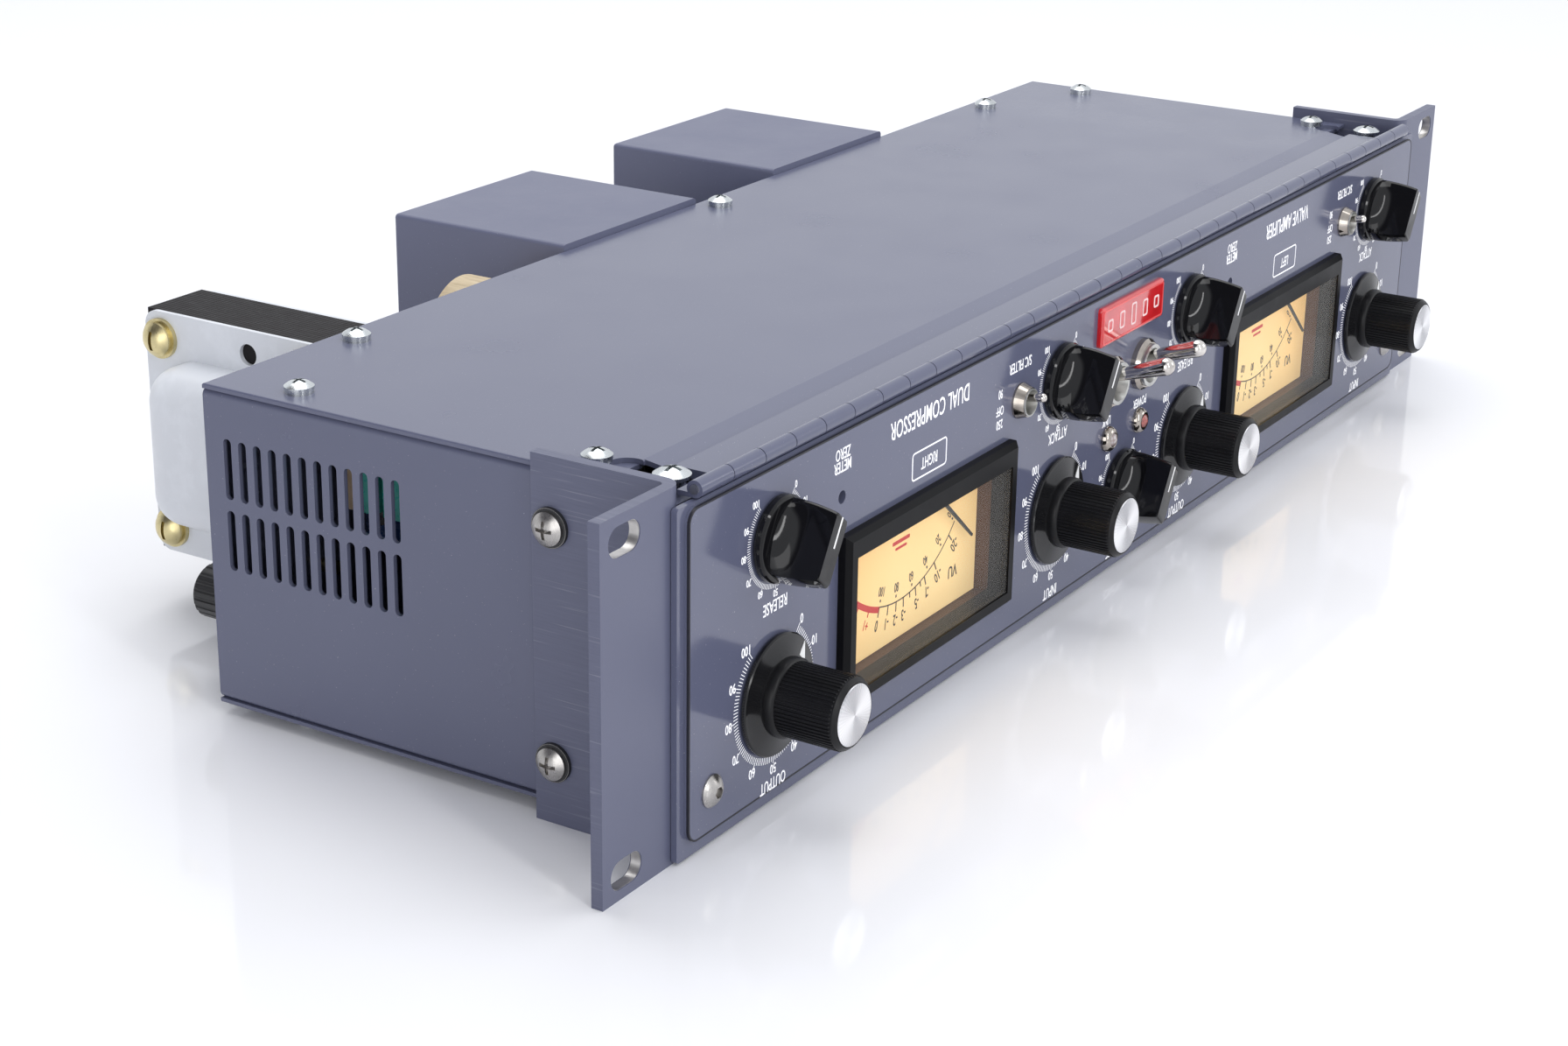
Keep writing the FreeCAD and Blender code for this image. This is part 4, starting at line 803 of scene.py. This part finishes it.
class COMPRESSOR_OT_rear(bpy.types.Operator):
    """Finish the transformers, the sockets and the fuse on the rear wall"""
    bl_idname = "compressor.rear"
    bl_label = "Rear parts"

    def execute(self, context):
        dress(core_sheets("core_sheets"), "power_transformer_core", "audio_transformer_cores")
        dress(moulded_plastic("bell_enamel", (0.66, 0.68, 0.72), 0.32, 700.0, 0.04),
              "power_transformer_bells")
        dress(taped_coil("coil_tape"), "transformer_windings")
        dress(satin_paint("can_enamel", 1.12, 0.42, 0.05), "audio_transformer_cans")
        dress(card_sleeve("capacitor_card"), "smoothing_capacitor")
        black = moulded_plastic("socket_black", (0.018, 0.018, 0.02), 0.36, 600.0, 0.05)
        dress(black, "fuse_holder", "mains_inlet", "input_connectors", "output_connectors")
        dress(moulded_plastic("fuse_cap_black", (0.014, 0.014, 0.015), 0.42, 500.0, 0.06), "fuse_cap")
        dress(plated_steel("contact_plate", (0.78, 0.66, 0.40), 0.22, 300.0), "connector_pins")
        dress(plated_steel("yellow_zinc", (0.72, 0.62, 0.34), 0.26, 220.0), "rear_screws")
        return {"FINISHED"}


class COMPRESSOR_OT_inside(bpy.types.Operator):
    """Finish the parts inside the case"""
    bl_idname = "compressor.inside"
    bl_label = "Inside the case"

    def execute(self, context):
        dress(plated_steel("deck_metal", (0.62, 0.63, 0.65), 0.34, 60.0), "inner_deck", "latch_brackets")
        dress(circuit_laminate("board_laminate"), "circuit_board")
        dress(plated_steel("standoff_metal", (0.74, 0.66, 0.46), 0.3, 200.0), "board_standoffs")
        dress(moulded_plastic("socket_ceramic", (0.72, 0.70, 0.62), 0.25, 300.0, 0.02), "tube_sockets")
        dress(clear_pane("tube_glass", (0.40, 0.55, 0.55), 0.16, 0.9), "vacuum_tubes")
        dress(tinted_parts("film_parts", (0.62, 0.17, 0.04), (0.04, 0.34, 0.30), 0.3), "film_capacitors")
        dress(tinted_parts("can_parts", (0.02, 0.05, 0.16), (0.02, 0.02, 0.03), 0.25),
              "electrolytic_capacitors")
        dress(tinted_parts("resistor_parts", (0.16, 0.32, 0.50), (0.48, 0.38, 0.20), 0.35), "resistors")
        dress(tinted_parts("loom_parts", (0.03, 0.30, 0.22), (0.03, 0.03, 0.03), 0.4), "wire_loom")
        self.tube_anodes()
        return {"FINISHED"}

    def tube_anodes(self):
        """Dark plates standing in the glass."""
        low, high = span("vacuum_tubes")
        pitch = (high.x - low.x - 2 * TUBE_RADIUS * MM) / 2
        metal = plated_steel("anode_grey", (0.18, 0.18, 0.19), 0.4, 200.0)
        mid = (low + high) / 2
        half_x, half_y, half_z = 5.9 * MM, 4.6 * MM, 12 * MM
        meshes = []
        for side in (-1, 1):
            for index in range(4):
                x = side * (pitch - index * TUBE_PITCH * MM)
                outline = rounded_outline(x, mid.z + 1 * MM, half_x, half_z, 1.5 * MM, 4)
                meshes.append(slab(outline, mid.y - half_y, mid.y + half_y))
        piece("tube_anodes", joined(meshes), metal, "case")


class COMPRESSOR_OT_door(bpy.types.Operator):
    """Paint the hinged door and finish its hinge, levers, nuts, control bodies and lamps"""
    bl_idname = "compressor.door"
    bl_label = "Door and hinge"

    def execute(self, context):
        paint = context.scene.compressor_paint
        door = satin_paint("door_enamel", paint.front_tone, paint.roughness - 0.12, paint.peel * 0.4)
        dress(door, "sub_panel", "faceplate")
        dress(satin_paint("hinge_enamel", 0.96, 0.12, 0.010), "hinge_fixed_leaf", "hinge_door_leaf")
        dress(plated_steel("pin_metal", (0.55, 0.55, 0.56), 0.25, 200.0), "hinge_pin")
        dress(polished_metal("bright_levers", (0.70, 0.67, 0.64), (0.52, 0.49, 0.46)),
              "link_lever", "power_lever", "right_filter_lever", "left_filter_lever")
        dress(polished_metal("nickel_nuts", (0.44, 0.40, 0.36), (0.30, 0.27, 0.24)), "panel_nuts")
        dress(plated_steel("pot_metal", (0.62, 0.60, 0.54), 0.3, 200.0), "potentiometers")
        dress(plated_steel("switch_metal", (0.60, 0.60, 0.58), 0.28, 200.0), "switch_bodies")
        dress(lamp_jewel("lamp_jewel"), "lamp_lenses")
        self.edge_line()
        return {"FINISHED"}

    def edge_line(self):
        """Painted shadow: a dark line round the faceplate's edge, where shade falls."""
        low, high = span("faceplate")
        mid_x, mid_z = (low.x + high.x) / 2, (low.z + high.z) / 2
        half_x, half_z = (high.x - low.x) / 2, (high.z - low.z) / 2
        inner = rounded_outline(mid_x, mid_z, half_x - 0.45 * MM, half_z - 0.45 * MM, 3.05 * MM)
        outer = rounded_outline(mid_x, mid_z, half_x + 0.02 * MM, half_z + 0.02 * MM, 3.52 * MM)
        ink = printed_ink("edge_shadow", (0.012, 0.012, 0.02), 0.0)
        piece("faceplate_edge", ribbon(inner, outer, PANEL_Y - 0.03 * MM, PANEL_Y + 0.6 * MM), ink, "door",
              60.0)


class COMPRESSOR_OT_lettering(bpy.types.Operator):
    """Print the plain labels on the door"""
    bl_idname = "compressor.lettering"
    bl_label = "Panel lettering"

    def execute(self, context):
        given = context.scene.compressor_print
        face = PANEL_Y - PRINT_LIFT * MM
        small, squeeze = given.capital, given.squeeze
        meshes = []

        def label(text, x, height_above, size=small, thin=squeeze):
            meshes.append(words(text, size, x, BASE + height_above * MM, face, thin, weight=given.weight))

        for side in ("right", "left"):
            output = centre_of_knob(side + "_output").x
            inlet = centre_of_knob(side + "_input").x
            centre = centre_between(side)
            zero = centre - ZERO_OFFSET * MM
            toggle = centre + FILTER_OFFSET * MM
            for text, x, height_above in (("OUTPUT", output, 6.0), ("INPUT", inlet, 6.7),
                                          ("RELEASE", output, 50.0), ("ATTACK", inlet, 50.9)):
                label(text, x, height_above)
            label("METER", zero, 74.6, small * 0.94)
            label("ZERO", zero, 77.7, small * 0.94)
            label("S/C FILTER", toggle - 0.6 * MM, 76.2, small * 0.94)
            for text, height_above in (("90", 71.1), ("OFF", 66.7), ("250", 63.1)):
                label(text, toggle - 10.9 * MM, height_above, small * 0.82)
            label(side.upper(), centre, 64.3, small)
            frame_in = rounded_outline(centre, BASE + 64.3 * MM, 8.1 * MM, 3.2 * MM, 0.7 * MM)
            frame_out = rounded_outline(centre, BASE + 64.3 * MM, 8.5 * MM, 3.6 * MM, 1.1 * MM)
            meshes.append(ribbon(frame_in, frame_out, face - PRINT_HALF * MM, face + PRINT_HALF * MM))
        label("DUAL COMPRESSOR", centre_between("right"), 76.6, given.title)
        label("VALVE AMPLIFIER", centre_between("left"), 76.6, given.title)
        lamps = span("lamp_lenses")
        label("LINK", lamps[0].x + 1.2 * MM, 46.5, small * 0.86)
        label("POWER", lamps[1].x - 1.2 * MM, 46.5, small * 0.86)
        label("BALANCE", 0.0, 6.4)
        # The ink's glow is painted light, which makes the print brighter than the lamps leave it.
        ink = printed_ink("panel_ink", tuple(given.ink), 0.3)
        piece("panel_lettering", joined(meshes), ink, "door")
        return {"FINISHED"}


def centre_between(side):
    return (centre_of_knob(side + "_output").x + centre_of_knob(side + "_input").x) / 2


class COMPRESSOR_OT_dials(bpy.types.Operator):
    """Print a ring of marks and numbers round every knob"""
    bl_idname = "compressor.dials"
    bl_label = "Dial scales"

    def execute(self, context):
        dials = context.scene.compressor_dials
        # The ink's glow is painted light, which makes the print brighter than the lamps leave it.
        ink = printed_ink("panel_ink", tuple(context.scene.compressor_print.ink), 0.3)
        for name in ROUND_KNOBS:
            self.dial(context, name, ink, dials.round_radius, 1.0)
        for name in BAR_KNOBS:
            self.dial(context, name, ink, dials.bar_radius, BAR_DIAL_RATIO)
        return {"FINISHED"}

    def dial(self, context, name, ink, radius, ratio):
        given = context.scene.compressor_print
        dials = context.scene.compressor_dials
        centre = centre_of_knob(name)
        centre.y = PANEL_Y - PRINT_LIFT * MM
        step = DIAL_SWEEP / dials.divisions
        length = dials.mark * ratio
        height = given.numeral * ratio
        bar = bar_shape(dials.mark_width * ratio, 0.04, length)
        marks = ring_of(bar, ink, centre, dials.divisions + 1, DIAL_START, step, radius * MM, 10, LONG_MARK)
        meshes = [marks]
        reach = radius + length * LONG_MARK + height * 0.5
        for number in range(0, 101, 10):
            angle = DIAL_START + DIAL_SWEEP * number / 100
            x = centre.x + (reach + height * 0.12 * (len(str(number)) - 1)) * MM * math.sin(angle)
            z = centre.z + reach * MM * math.cos(angle)
            meshes.append(words(str(number), height, x, z, centre.y, given.numeral_squeeze, weight=0.04))
        piece(name + "_scale", joined(meshes), ink, "door")


def pointer_ink():
    # The pointers' white glows a little: painted light.
    return printed_ink("pointer_white", (0.86, 0.86, 0.86), 0.05)


class COMPRESSOR_OT_round_knobs(bpy.types.Operator):
    """Build the fluted round knobs with their skirts, caps and pointers"""
    bl_idname = "compressor.round_knobs"
    bl_label = "Round knobs"

    def execute(self, context):
        for name in ROUND_KNOBS:
            self.knob(context, name)
        return {"FINISHED"}

    def knob(self, context, name):
        size = context.scene.compressor_knobs
        node = name + "_knob"
        seat = centre_of_knob(name)
        seat.y = PANEL_Y - KNOB_GAP * MM
        skirt, grip, tip = size.skirt_radius, size.grip_radius, size.length
        gloss = moulded_plastic("skirt_gloss", (0.007, 0.007, 0.008), 0.13, 260.0, 0.006, 0.36)
        matt = moulded_plastic("grip_matt", (0.008, 0.008, 0.009), 0.36, 900.0, 0.03, 0.24)
        disc = lathe([(0, KNOB_RECESS), (6.6, KNOB_RECESS), (6.6, 0), (skirt - 0.4, 0), (skirt, 0.3),
                      (skirt, 0.95), (skirt - 0.3, 1.25), (skirt - 1.2, 1.42), (grip + 0.95, 2.55),
                      (grip + 0.4, 2.75), (0, 2.75)], seat, 96)
        body = piece(name + "_skirt", disc, gloss, node)
        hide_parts(node)
        core = lathe([(0, 2.6), (grip + 0.55, 2.6), (grip + 0.6, 3.2), (grip + 0.6, 4.4), (grip + 0.2, 4.9),
                      (grip - 0.35, 5.1), (grip - 0.35, tip - 1.0), (grip - 0.9, tip - 0.35),
                      (size.cap_radius + 0.25, tip), (size.cap_radius + 0.15, tip - 0.6), (0, tip - 0.6)],
                     seat, 96)
        rib = bar_shape(0.56, tip - 6.3, 0.42, grip - 0.5)
        for corner in rib.vertices:
            if corner.co.z > (grip - 0.3) * MM:
                corner.co.x *= 0.45
                if corner.co.y < 0:
                    corner.co.y += 0.35 * MM
        middle_depth = Vector((seat.x, seat.y - (5.1 + (tip - 6.3) / 2) * MM, seat.z))
        flutes = ring_of(rib, matt, middle_depth, size.flutes, 0.0, 2 * math.pi / size.flutes, 0.0)
        piece(name + "_grip", joined([core, flutes]), matt, node, 40.0)
        self.cap(size, name, seat, tip)
        self.pointer(size, name, seat)

    def cap(self, size, name, seat, tip):
        radius = size.cap_radius
        mesh = lathe([(0, tip - 0.7), (radius, tip - 0.7), (radius, tip + 0.02), (radius - 0.25, tip + 0.2),
                      (radius - 0.8, tip + 0.27), (radius * 0.5, tip + 0.22), (0, tip + 0.2)], seat, 96)
        layer = mesh.uv_layers.new(name="disc")
        for loop in mesh.loops:
            place = mesh.vertices[loop.vertex_index].co - seat
            layer.data[loop.index].uv = (place.x / (radius * MM), place.z / (radius * MM))
        piece(name + "_cap", mesh, spun_aluminium("spun_cap"), name + "_knob")

    def pointer(self, size, name, seat):
        """White triangle lying on the skirt's slope."""
        tip_r, root_r = size.skirt_radius - 0.5, size.grip_radius + 1.0
        corners = ((-1.6, root_r, 2.56), (1.6, root_r, 2.56), (0.0, tip_r, 1.38))
        high, low = ([(x * MM, -(height + lift) * MM, z * MM) for x, z, height in corners]
                     for lift in (0.06, -0.1))
        mesh = prism(high, low)
        mesh.transform(Matrix.Translation(seat) @ Matrix.Rotation(ROUND_POINTER, 4, "Y"))
        piece(name + "_pointer", mesh, pointer_ink(), name + "_knob")


class COMPRESSOR_OT_bar_knobs(bpy.types.Operator):
    """Build the glossy bar knobs with their white lines"""
    bl_idname = "compressor.bar_knobs"
    bl_label = "Bar knobs"

    def execute(self, context):
        for name in BAR_KNOBS:
            self.knob(context, name)
        return {"FINISHED"}

    def knob(self, context, name):
        size = context.scene.compressor_knobs
        node = name + "_knob"
        seat = centre_of_knob(name)
        seat.y = PANEL_Y - KNOB_GAP * MM
        radius, tip = size.bar_radius, size.bar_length
        disc = lathe([(0, KNOB_RECESS), (6.4, KNOB_RECESS), (6.4, 0), (radius - 0.3, 0), (radius, 0.3),
                      (radius, 1.7), (radius - 0.35, 2.2), (radius - 0.9, 2.45), (0, 2.45)], seat, 96)
        place = Matrix.Translation(seat) @ Matrix.Rotation(BAR_POINTER, 4, "Y")
        bar = self.bar(radius, tip)
        bar.transform(place)
        gloss = moulded_plastic("bar_gloss", (0.004, 0.004, 0.005), 0.06, 300.0, 0.003, 0.34)
        body = piece(name + "_bar", joined([disc, bar]), gloss, node, 28.0)
        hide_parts(node)
        line = self.line(radius, tip)
        line.transform(place)
        piece(name + "_line", line, pointer_ink(), node)

    def bar(self, radius, tip):
        """Grip with flat flanks that scoop out to the disc in the middle of their length."""
        shape = bmesh.new()
        rows = []
        steps = 18
        for step in range(steps + 1):
            part = step / steps
            height = 2.2 + (tip - 2.2) * part
            half_length = radius - 0.7 - 1.3 * part ** 2
            flare = 3.6 * max(0.0, 1 - part / 0.5) ** 2
            rows.append([shape.verts.new((x * MM, -height * MM, z * MM))
                         for x, z in self.outline(2.75, half_length, flare)])
        for first, second in zip(rows, rows[1:]):
            stitch(shape, first, second)
        top = shape.faces.new(rows[-1])
        shape.faces.new(rows[0][::-1])
        bmesh.ops.bevel(shape, geom=list(top.edges), offset=0.4 * MM, segments=4, affect="EDGES",
                        profile=0.5)
        return from_bmesh(shape)

    def outline(self, half_width, half_length, flare):
        """One level of the grip, in mm: flanks that bulge by the flare at mid length."""
        corner = 0.9
        reach = half_length - corner
        flank = []
        count = 16
        for step in range(count + 1):
            z = reach * (1 - 2 * step / count)
            flank.append((half_width + flare * (1 - (z / reach) ** 2), z))
        turn = [(half_width - corner + corner * math.cos(math.radians(angle)),
                 -reach - corner * math.sin(math.radians(angle))) for angle in (18, 36, 54, 72, 90)]
        right = flank + turn
        return right + [(-x, -z) for x, z in right]

    def line(self, radius, tip):
        """White line along one half of the grip's top."""
        near, far = 0.5, radius - 2.5
        corners = ((-0.3, near), (0.3, near), (0.3, far), (-0.3, far))
        high, low = ([(x * MM, -height * MM, z * MM) for x, z in corners]
                     for height in (tip + 0.04, tip - 0.16))
        return prism(high, low)


class COMPRESSOR_OT_meters(bpy.types.Operator):
    """Print the meter cards and finish their bezels, panes and needles"""
    bl_idname = "compressor.meters"
    bl_label = "Meters"

    def execute(self, context):
        dress(moulded_plastic("bezel_black", (0.006, 0.006, 0.007), 0.34, 900.0, 0.004, 0.09),
              "meter_bezels")
        dress(moulded_plastic("meter_brown", (0.085, 0.035, 0.014), 0.42, 300.0, 0.006, 0.2), "meter_cases")
        dress(clear_pane("meter_pane", (0.9, 0.9, 0.88), 0.02, 0.35), "meter_lenses")
        dress(lit_card("meter_card"), "meter_scales")
        dress(moulded_plastic("needle_black", (0.01, 0.01, 0.01), 0.45, 500.0, 0.005),
              "right_needle", "left_needle")
        for side in ("right", "left"):
            self.print_card(context, side)
        return {"FINISHED"}

    def print_card(self, context, side):
        given = context.scene.compressor_meters
        card = span("meter_scales")
        face = card[0].y - PRINT_LIFT * MM
        pivot = Vector(((-1 if side == "right" else 1) * METER_CENTRE * MM, face, BASE + PIVOT_HEIGHT * MM))
        black = printed_ink("meter_black", (0.03, 0.022, 0.018), 0.0)
        # The red print glows: painted light.
        red = printed_ink("meter_red", (0.62, 0.02, 0.015), 0.10)
        arc = given.arc_radius

        def printed(outline):
            return slab(outline, face - PRINT_HALF * MM, face + PRINT_HALF * MM)

        def turn_of(share):
            return given.rest_turn - given.full_turn * share

        def spot(radius, turn):
            return pivot.x + radius * MM * math.sin(turn), pivot.z - radius * MM * math.cos(turn)

        def arc_band(first, last, inner, outer):
            steps = 40
            turns = [first + (last - first) * step / steps for step in range(steps + 1)]
            return ribbon([spot(inner, turn) for turn in turns], [spot(outer, turn) for turn in turns],
                          face - PRINT_HALF * MM, face + PRINT_HALF * MM, False)

        def mark(share, inner, outer, width):
            turn = turn_of(share)
            along = Vector((math.sin(turn), 0, -math.cos(turn)))
            side_way = Vector((math.cos(turn), 0, math.sin(turn))) * width * MM / 2
            root = Vector((pivot.x, 0, pivot.z))
            corners = [root + along * inner * MM - side_way, root + along * inner * MM + side_way,
                       root + along * outer * MM + side_way, root + along * outer * MM - side_way]
            return printed([(corner.x, corner.z) for corner in corners])

        def figure(text, height, reach, share, squeeze=0.64, weight=0.05):
            turn = turn_of(share)
            x, z = spot(arc + reach, turn)
            return words(text, height, x, z, face, squeeze, -turn, weight=weight)

        dark = [arc_band(turn_of(0.0), turn_of(1.0), arc - 0.17, arc + 0.17)]
        hot = [arc_band(turn_of(1.0), turn_of(1.45), arc - 0.15, arc + 1.45)]
        for level in (-20, -10, -7, -6, -5, -4, -3, -2, -1, 0):
            share = 10 ** (level / 20)
            named = level not in (-6, -4)
            dark.append(mark(share, arc, arc + (2.6 if named else 1.5), 0.42))
            if named:
                dark.append(figure(str(level), 3.0, 4.6, share))
        for level in (1, 2, 3):
            share = 10 ** (level / 20)
            hot.append(mark(share, arc + 1.2, arc + 2.7, 0.42))
            hot.append(figure("+1" if level == 1 else str(level), 2.7, 4.6, share))
        for percent in range(0, 101, 20):
            share = percent / 100
            dark.append(mark(share, arc - 1.9, arc - 1.2, 0.55))
            dark.append(figure(str(percent), 2.5, -4.0, share, 0.62, 0.04))
        dark.append(words("VU", 3.2, pivot.x + 27 * MM, pivot.z - 37 * MM, face, 0.8, weight=0.06))
        for drop, half_x, half_z in ((20.2, 4.2, 0.5), (21.9, 2.8, 0.35)):
            hot.append(printed(rounded_outline(pivot.x, pivot.z - drop * MM, half_x * MM, half_z * MM,
                                               0.3 * MM)))
        piece(side + "_meter_marks", joined(dark), black, "door")
        piece(side + "_meter_red_zone", joined(hot), red, "door")


class COMPRESSOR_OT_badge(bpy.types.Operator):
    """Finish the red badge and give it a raised rim and plain bars"""
    bl_idname = "compressor.badge"
    bl_label = "Badge"

    def execute(self, context):
        dress(domed_resin("badge_red"), "badge")
        low, high = span("badge")
        mid = (low + high) / 2
        half_x, half_z = (high.x - low.x) / 2, (high.z - low.z) / 2
        # The pale bars glow a little: painted light.
        pale = printed_ink("badge_white", (0.84, 0.62, 0.62), 0.10)
        rim = moulded_plastic("badge_rim", (0.80, 0.10, 0.10), 0.14, 300.0, 0.005)
        face = low.y
        bars = []
        reach = half_x - 5.0 * MM
        height = half_z - 2.4 * MM
        for index in range(5):
            x = mid.x - reach + index * reach / 2
            tall = height * (0.55 + 0.45 * (1 - abs(index - 2) / 2))
            outer = rounded_outline(x, mid.z, 1.5 * MM, tall, 0.7 * MM)
            inner = rounded_outline(x, mid.z, 1.0 * MM, tall - 0.5 * MM, 0.4 * MM)
            bars.append(ribbon(inner, outer, face - 0.12 * MM, face + 0.05 * MM))
        piece("badge_bars", joined(bars), pale, "door")
        inner = rounded_outline(mid.x, mid.z, half_x - 1.15 * MM, half_z - 1.15 * MM, 0.6 * MM)
        outer = rounded_outline(mid.x, mid.z, half_x - 0.75 * MM, half_z - 0.75 * MM, 0.9 * MM)
        edge = ribbon(inner, outer, face - 0.1 * MM, face + 0.1 * MM)
        piece("badge_rim", edge, rim, "door")
        return {"FINISHED"}


class COMPRESSOR_OT_stage(bpy.types.Operator):
    """Set the pale floor, the soft lights and the camera"""
    bl_idname = "compressor.stage"
    bl_label = "Stage"

    def execute(self, context):
        given = context.scene.compressor_stage
        context.scene.view_settings.view_transform = "Standard"
        self.floor(given)
        self.lights(given)
        self.camera(context, given)
        return {"FINISHED"}

    def floor(self, given):
        recipe = Recipe("pale_floor")
        cloud = recipe.noise(3.0)
        tint = recipe.blend(recipe.limits(cloud, 0.3, 0.7, 0.0, 0.04), tuple(given.floor),
                            (0.84, 0.84, 0.87))
        material = recipe.surface(tint, 0.07, 0.0, specular=0.35)
        level = CAD_BOX[0][2]
        corners = [(x * FLOOR_REACH, y * FLOOR_REACH, level)
                   for x, y in ((-1, -1), (1, -1), (1, 1), (-1, 1))]
        mesh = bpy.data.meshes.new("floor")
        mesh.from_pydata(corners, [], [(0, 1, 2, 3)])
        mesh.materials.append(material)
        thing = bpy.data.objects.new("floor", mesh)
        bpy.context.scene.collection.objects.link(thing)

    def lights(self, given):
        world = bpy.data.worlds.new("surround")
        world.use_nodes = True
        self.dim_side(world.node_tree, given)
        bpy.context.scene.world = world
        target = Vector((0.0, 0.05, 0.0))
        for name, place, wide, tall, power in (("overhead", (0.15, 0.35, 1.3), 1.1, 1.1, 1.0),
                                               ("front_left", (-0.75, -1.35, 0.85), 0.13, 1.56, 0.62),
                                               ("front_right", (1.1, -1.3, 0.7), 0.7, 0.7, 0.35),
                                               ("left_side", (-1.7, -0.45, 0.35), 1.0, 1.0, 0.60)):
            lamp = bpy.data.lights.new(name, "AREA")
            lamp.shape = "RECTANGLE"
            lamp.size = wide
            lamp.size_y = tall
            lamp.energy = given.key * power
            thing = bpy.data.objects.new(name, lamp)
            thing.location = place
            thing.rotation_euler = (Vector(place) - target).to_track_quat("Z", "Y").to_euler()
            bpy.context.scene.collection.objects.link(thing)

    def dim_side(self, tree, given):
        """White surround with one dim side, which keeps the black mouldings black."""
        place = tree.nodes.new("ShaderNodeTexCoord").outputs["Generated"]
        toward = tree.nodes.new("ShaderNodeVectorMath")
        toward.operation = "DOT_PRODUCT"
        toward.inputs[1].default_value = DIM_SIDE
        edge = tree.nodes.new("ShaderNodeMapRange")
        edge.interpolation_type = "SMOOTHSTEP"
        edge.inputs["From Min"].default_value = DIM_EDGE[0]
        edge.inputs["From Max"].default_value = DIM_EDGE[1]
        shade = tree.nodes.new("ShaderNodeMix")
        shade.data_type = "RGBA"
        shade.inputs[6].default_value = (0.94, 0.96, 1.0, 1.0)
        shade.inputs[7].default_value = (0.09, 0.09, 0.11, 1.0)
        back = tree.nodes["Background"]
        back.inputs["Strength"].default_value = given.sky
        for start, end in ((place, toward.inputs[0]), (toward.outputs["Value"], edge.inputs["Value"]),
                           (edge.outputs[0], shade.inputs[0]), (shade.outputs[2], back.inputs["Color"])):
            tree.links.new(start, end)

    def camera(self, context, given):
        view = bpy.data.cameras.new("view")
        view.lens = given.lens
        view.sensor_width = SENSOR_WIDTH
        thing = bpy.data.objects.new("view", view)
        pan, tilt, roll = (math.radians(turn) for turn in VIEW_TURNS)
        aim = Matrix.Rotation(pan, 4, "Z") @ Matrix.Rotation(tilt, 4, "X") @ Matrix.Rotation(roll, 4, "Z")
        thing.matrix_world = Matrix.Translation(VIEW_PLACE) @ aim
        context.scene.collection.objects.link(thing)
        context.scene.camera = thing


OPERATORS = (COMPRESSOR_OT_case, COMPRESSOR_OT_rear, COMPRESSOR_OT_inside, COMPRESSOR_OT_door,
             COMPRESSOR_OT_lettering, COMPRESSOR_OT_dials, COMPRESSOR_OT_round_knobs,
             COMPRESSOR_OT_bar_knobs, COMPRESSOR_OT_meters, COMPRESSOR_OT_badge, COMPRESSOR_OT_stage)


class COMPRESSOR_PT_panel(bpy.types.Panel):
    bl_label = "Rack compressor"
    bl_space_type = "VIEW_3D"
    bl_region_type = "UI"
    bl_category = "Compressor"

    def draw(self, context):
        for name, group in GROUPS.items():
            box = self.layout.box()
            for value in group.__annotations__:
                box.prop(getattr(context.scene, name), value)
        for operator in OPERATORS:
            self.layout.operator(operator.bl_idname)


def register():
    for group in GROUPS.values():
        bpy.utils.register_class(group)
    for name, group in GROUPS.items():
        setattr(bpy.types.Scene, name, PointerProperty(type=group))
    for entry in OPERATORS + (COMPRESSOR_PT_panel,):
        bpy.utils.register_class(entry)


def unregister():
    for entry in (COMPRESSOR_PT_panel,) + OPERATORS[::-1]:
        bpy.utils.unregister_class(entry)
    for name in GROUPS:
        delattr(bpy.types.Scene, name)
    for group in GROUPS.values():
        bpy.utils.unregister_class(group)


def main():
    register()
    for operator in OPERATORS:
        group, name = operator.bl_idname.split(".")
        getattr(getattr(bpy.ops, group), name)()


if __name__ == "__main__":
    main()
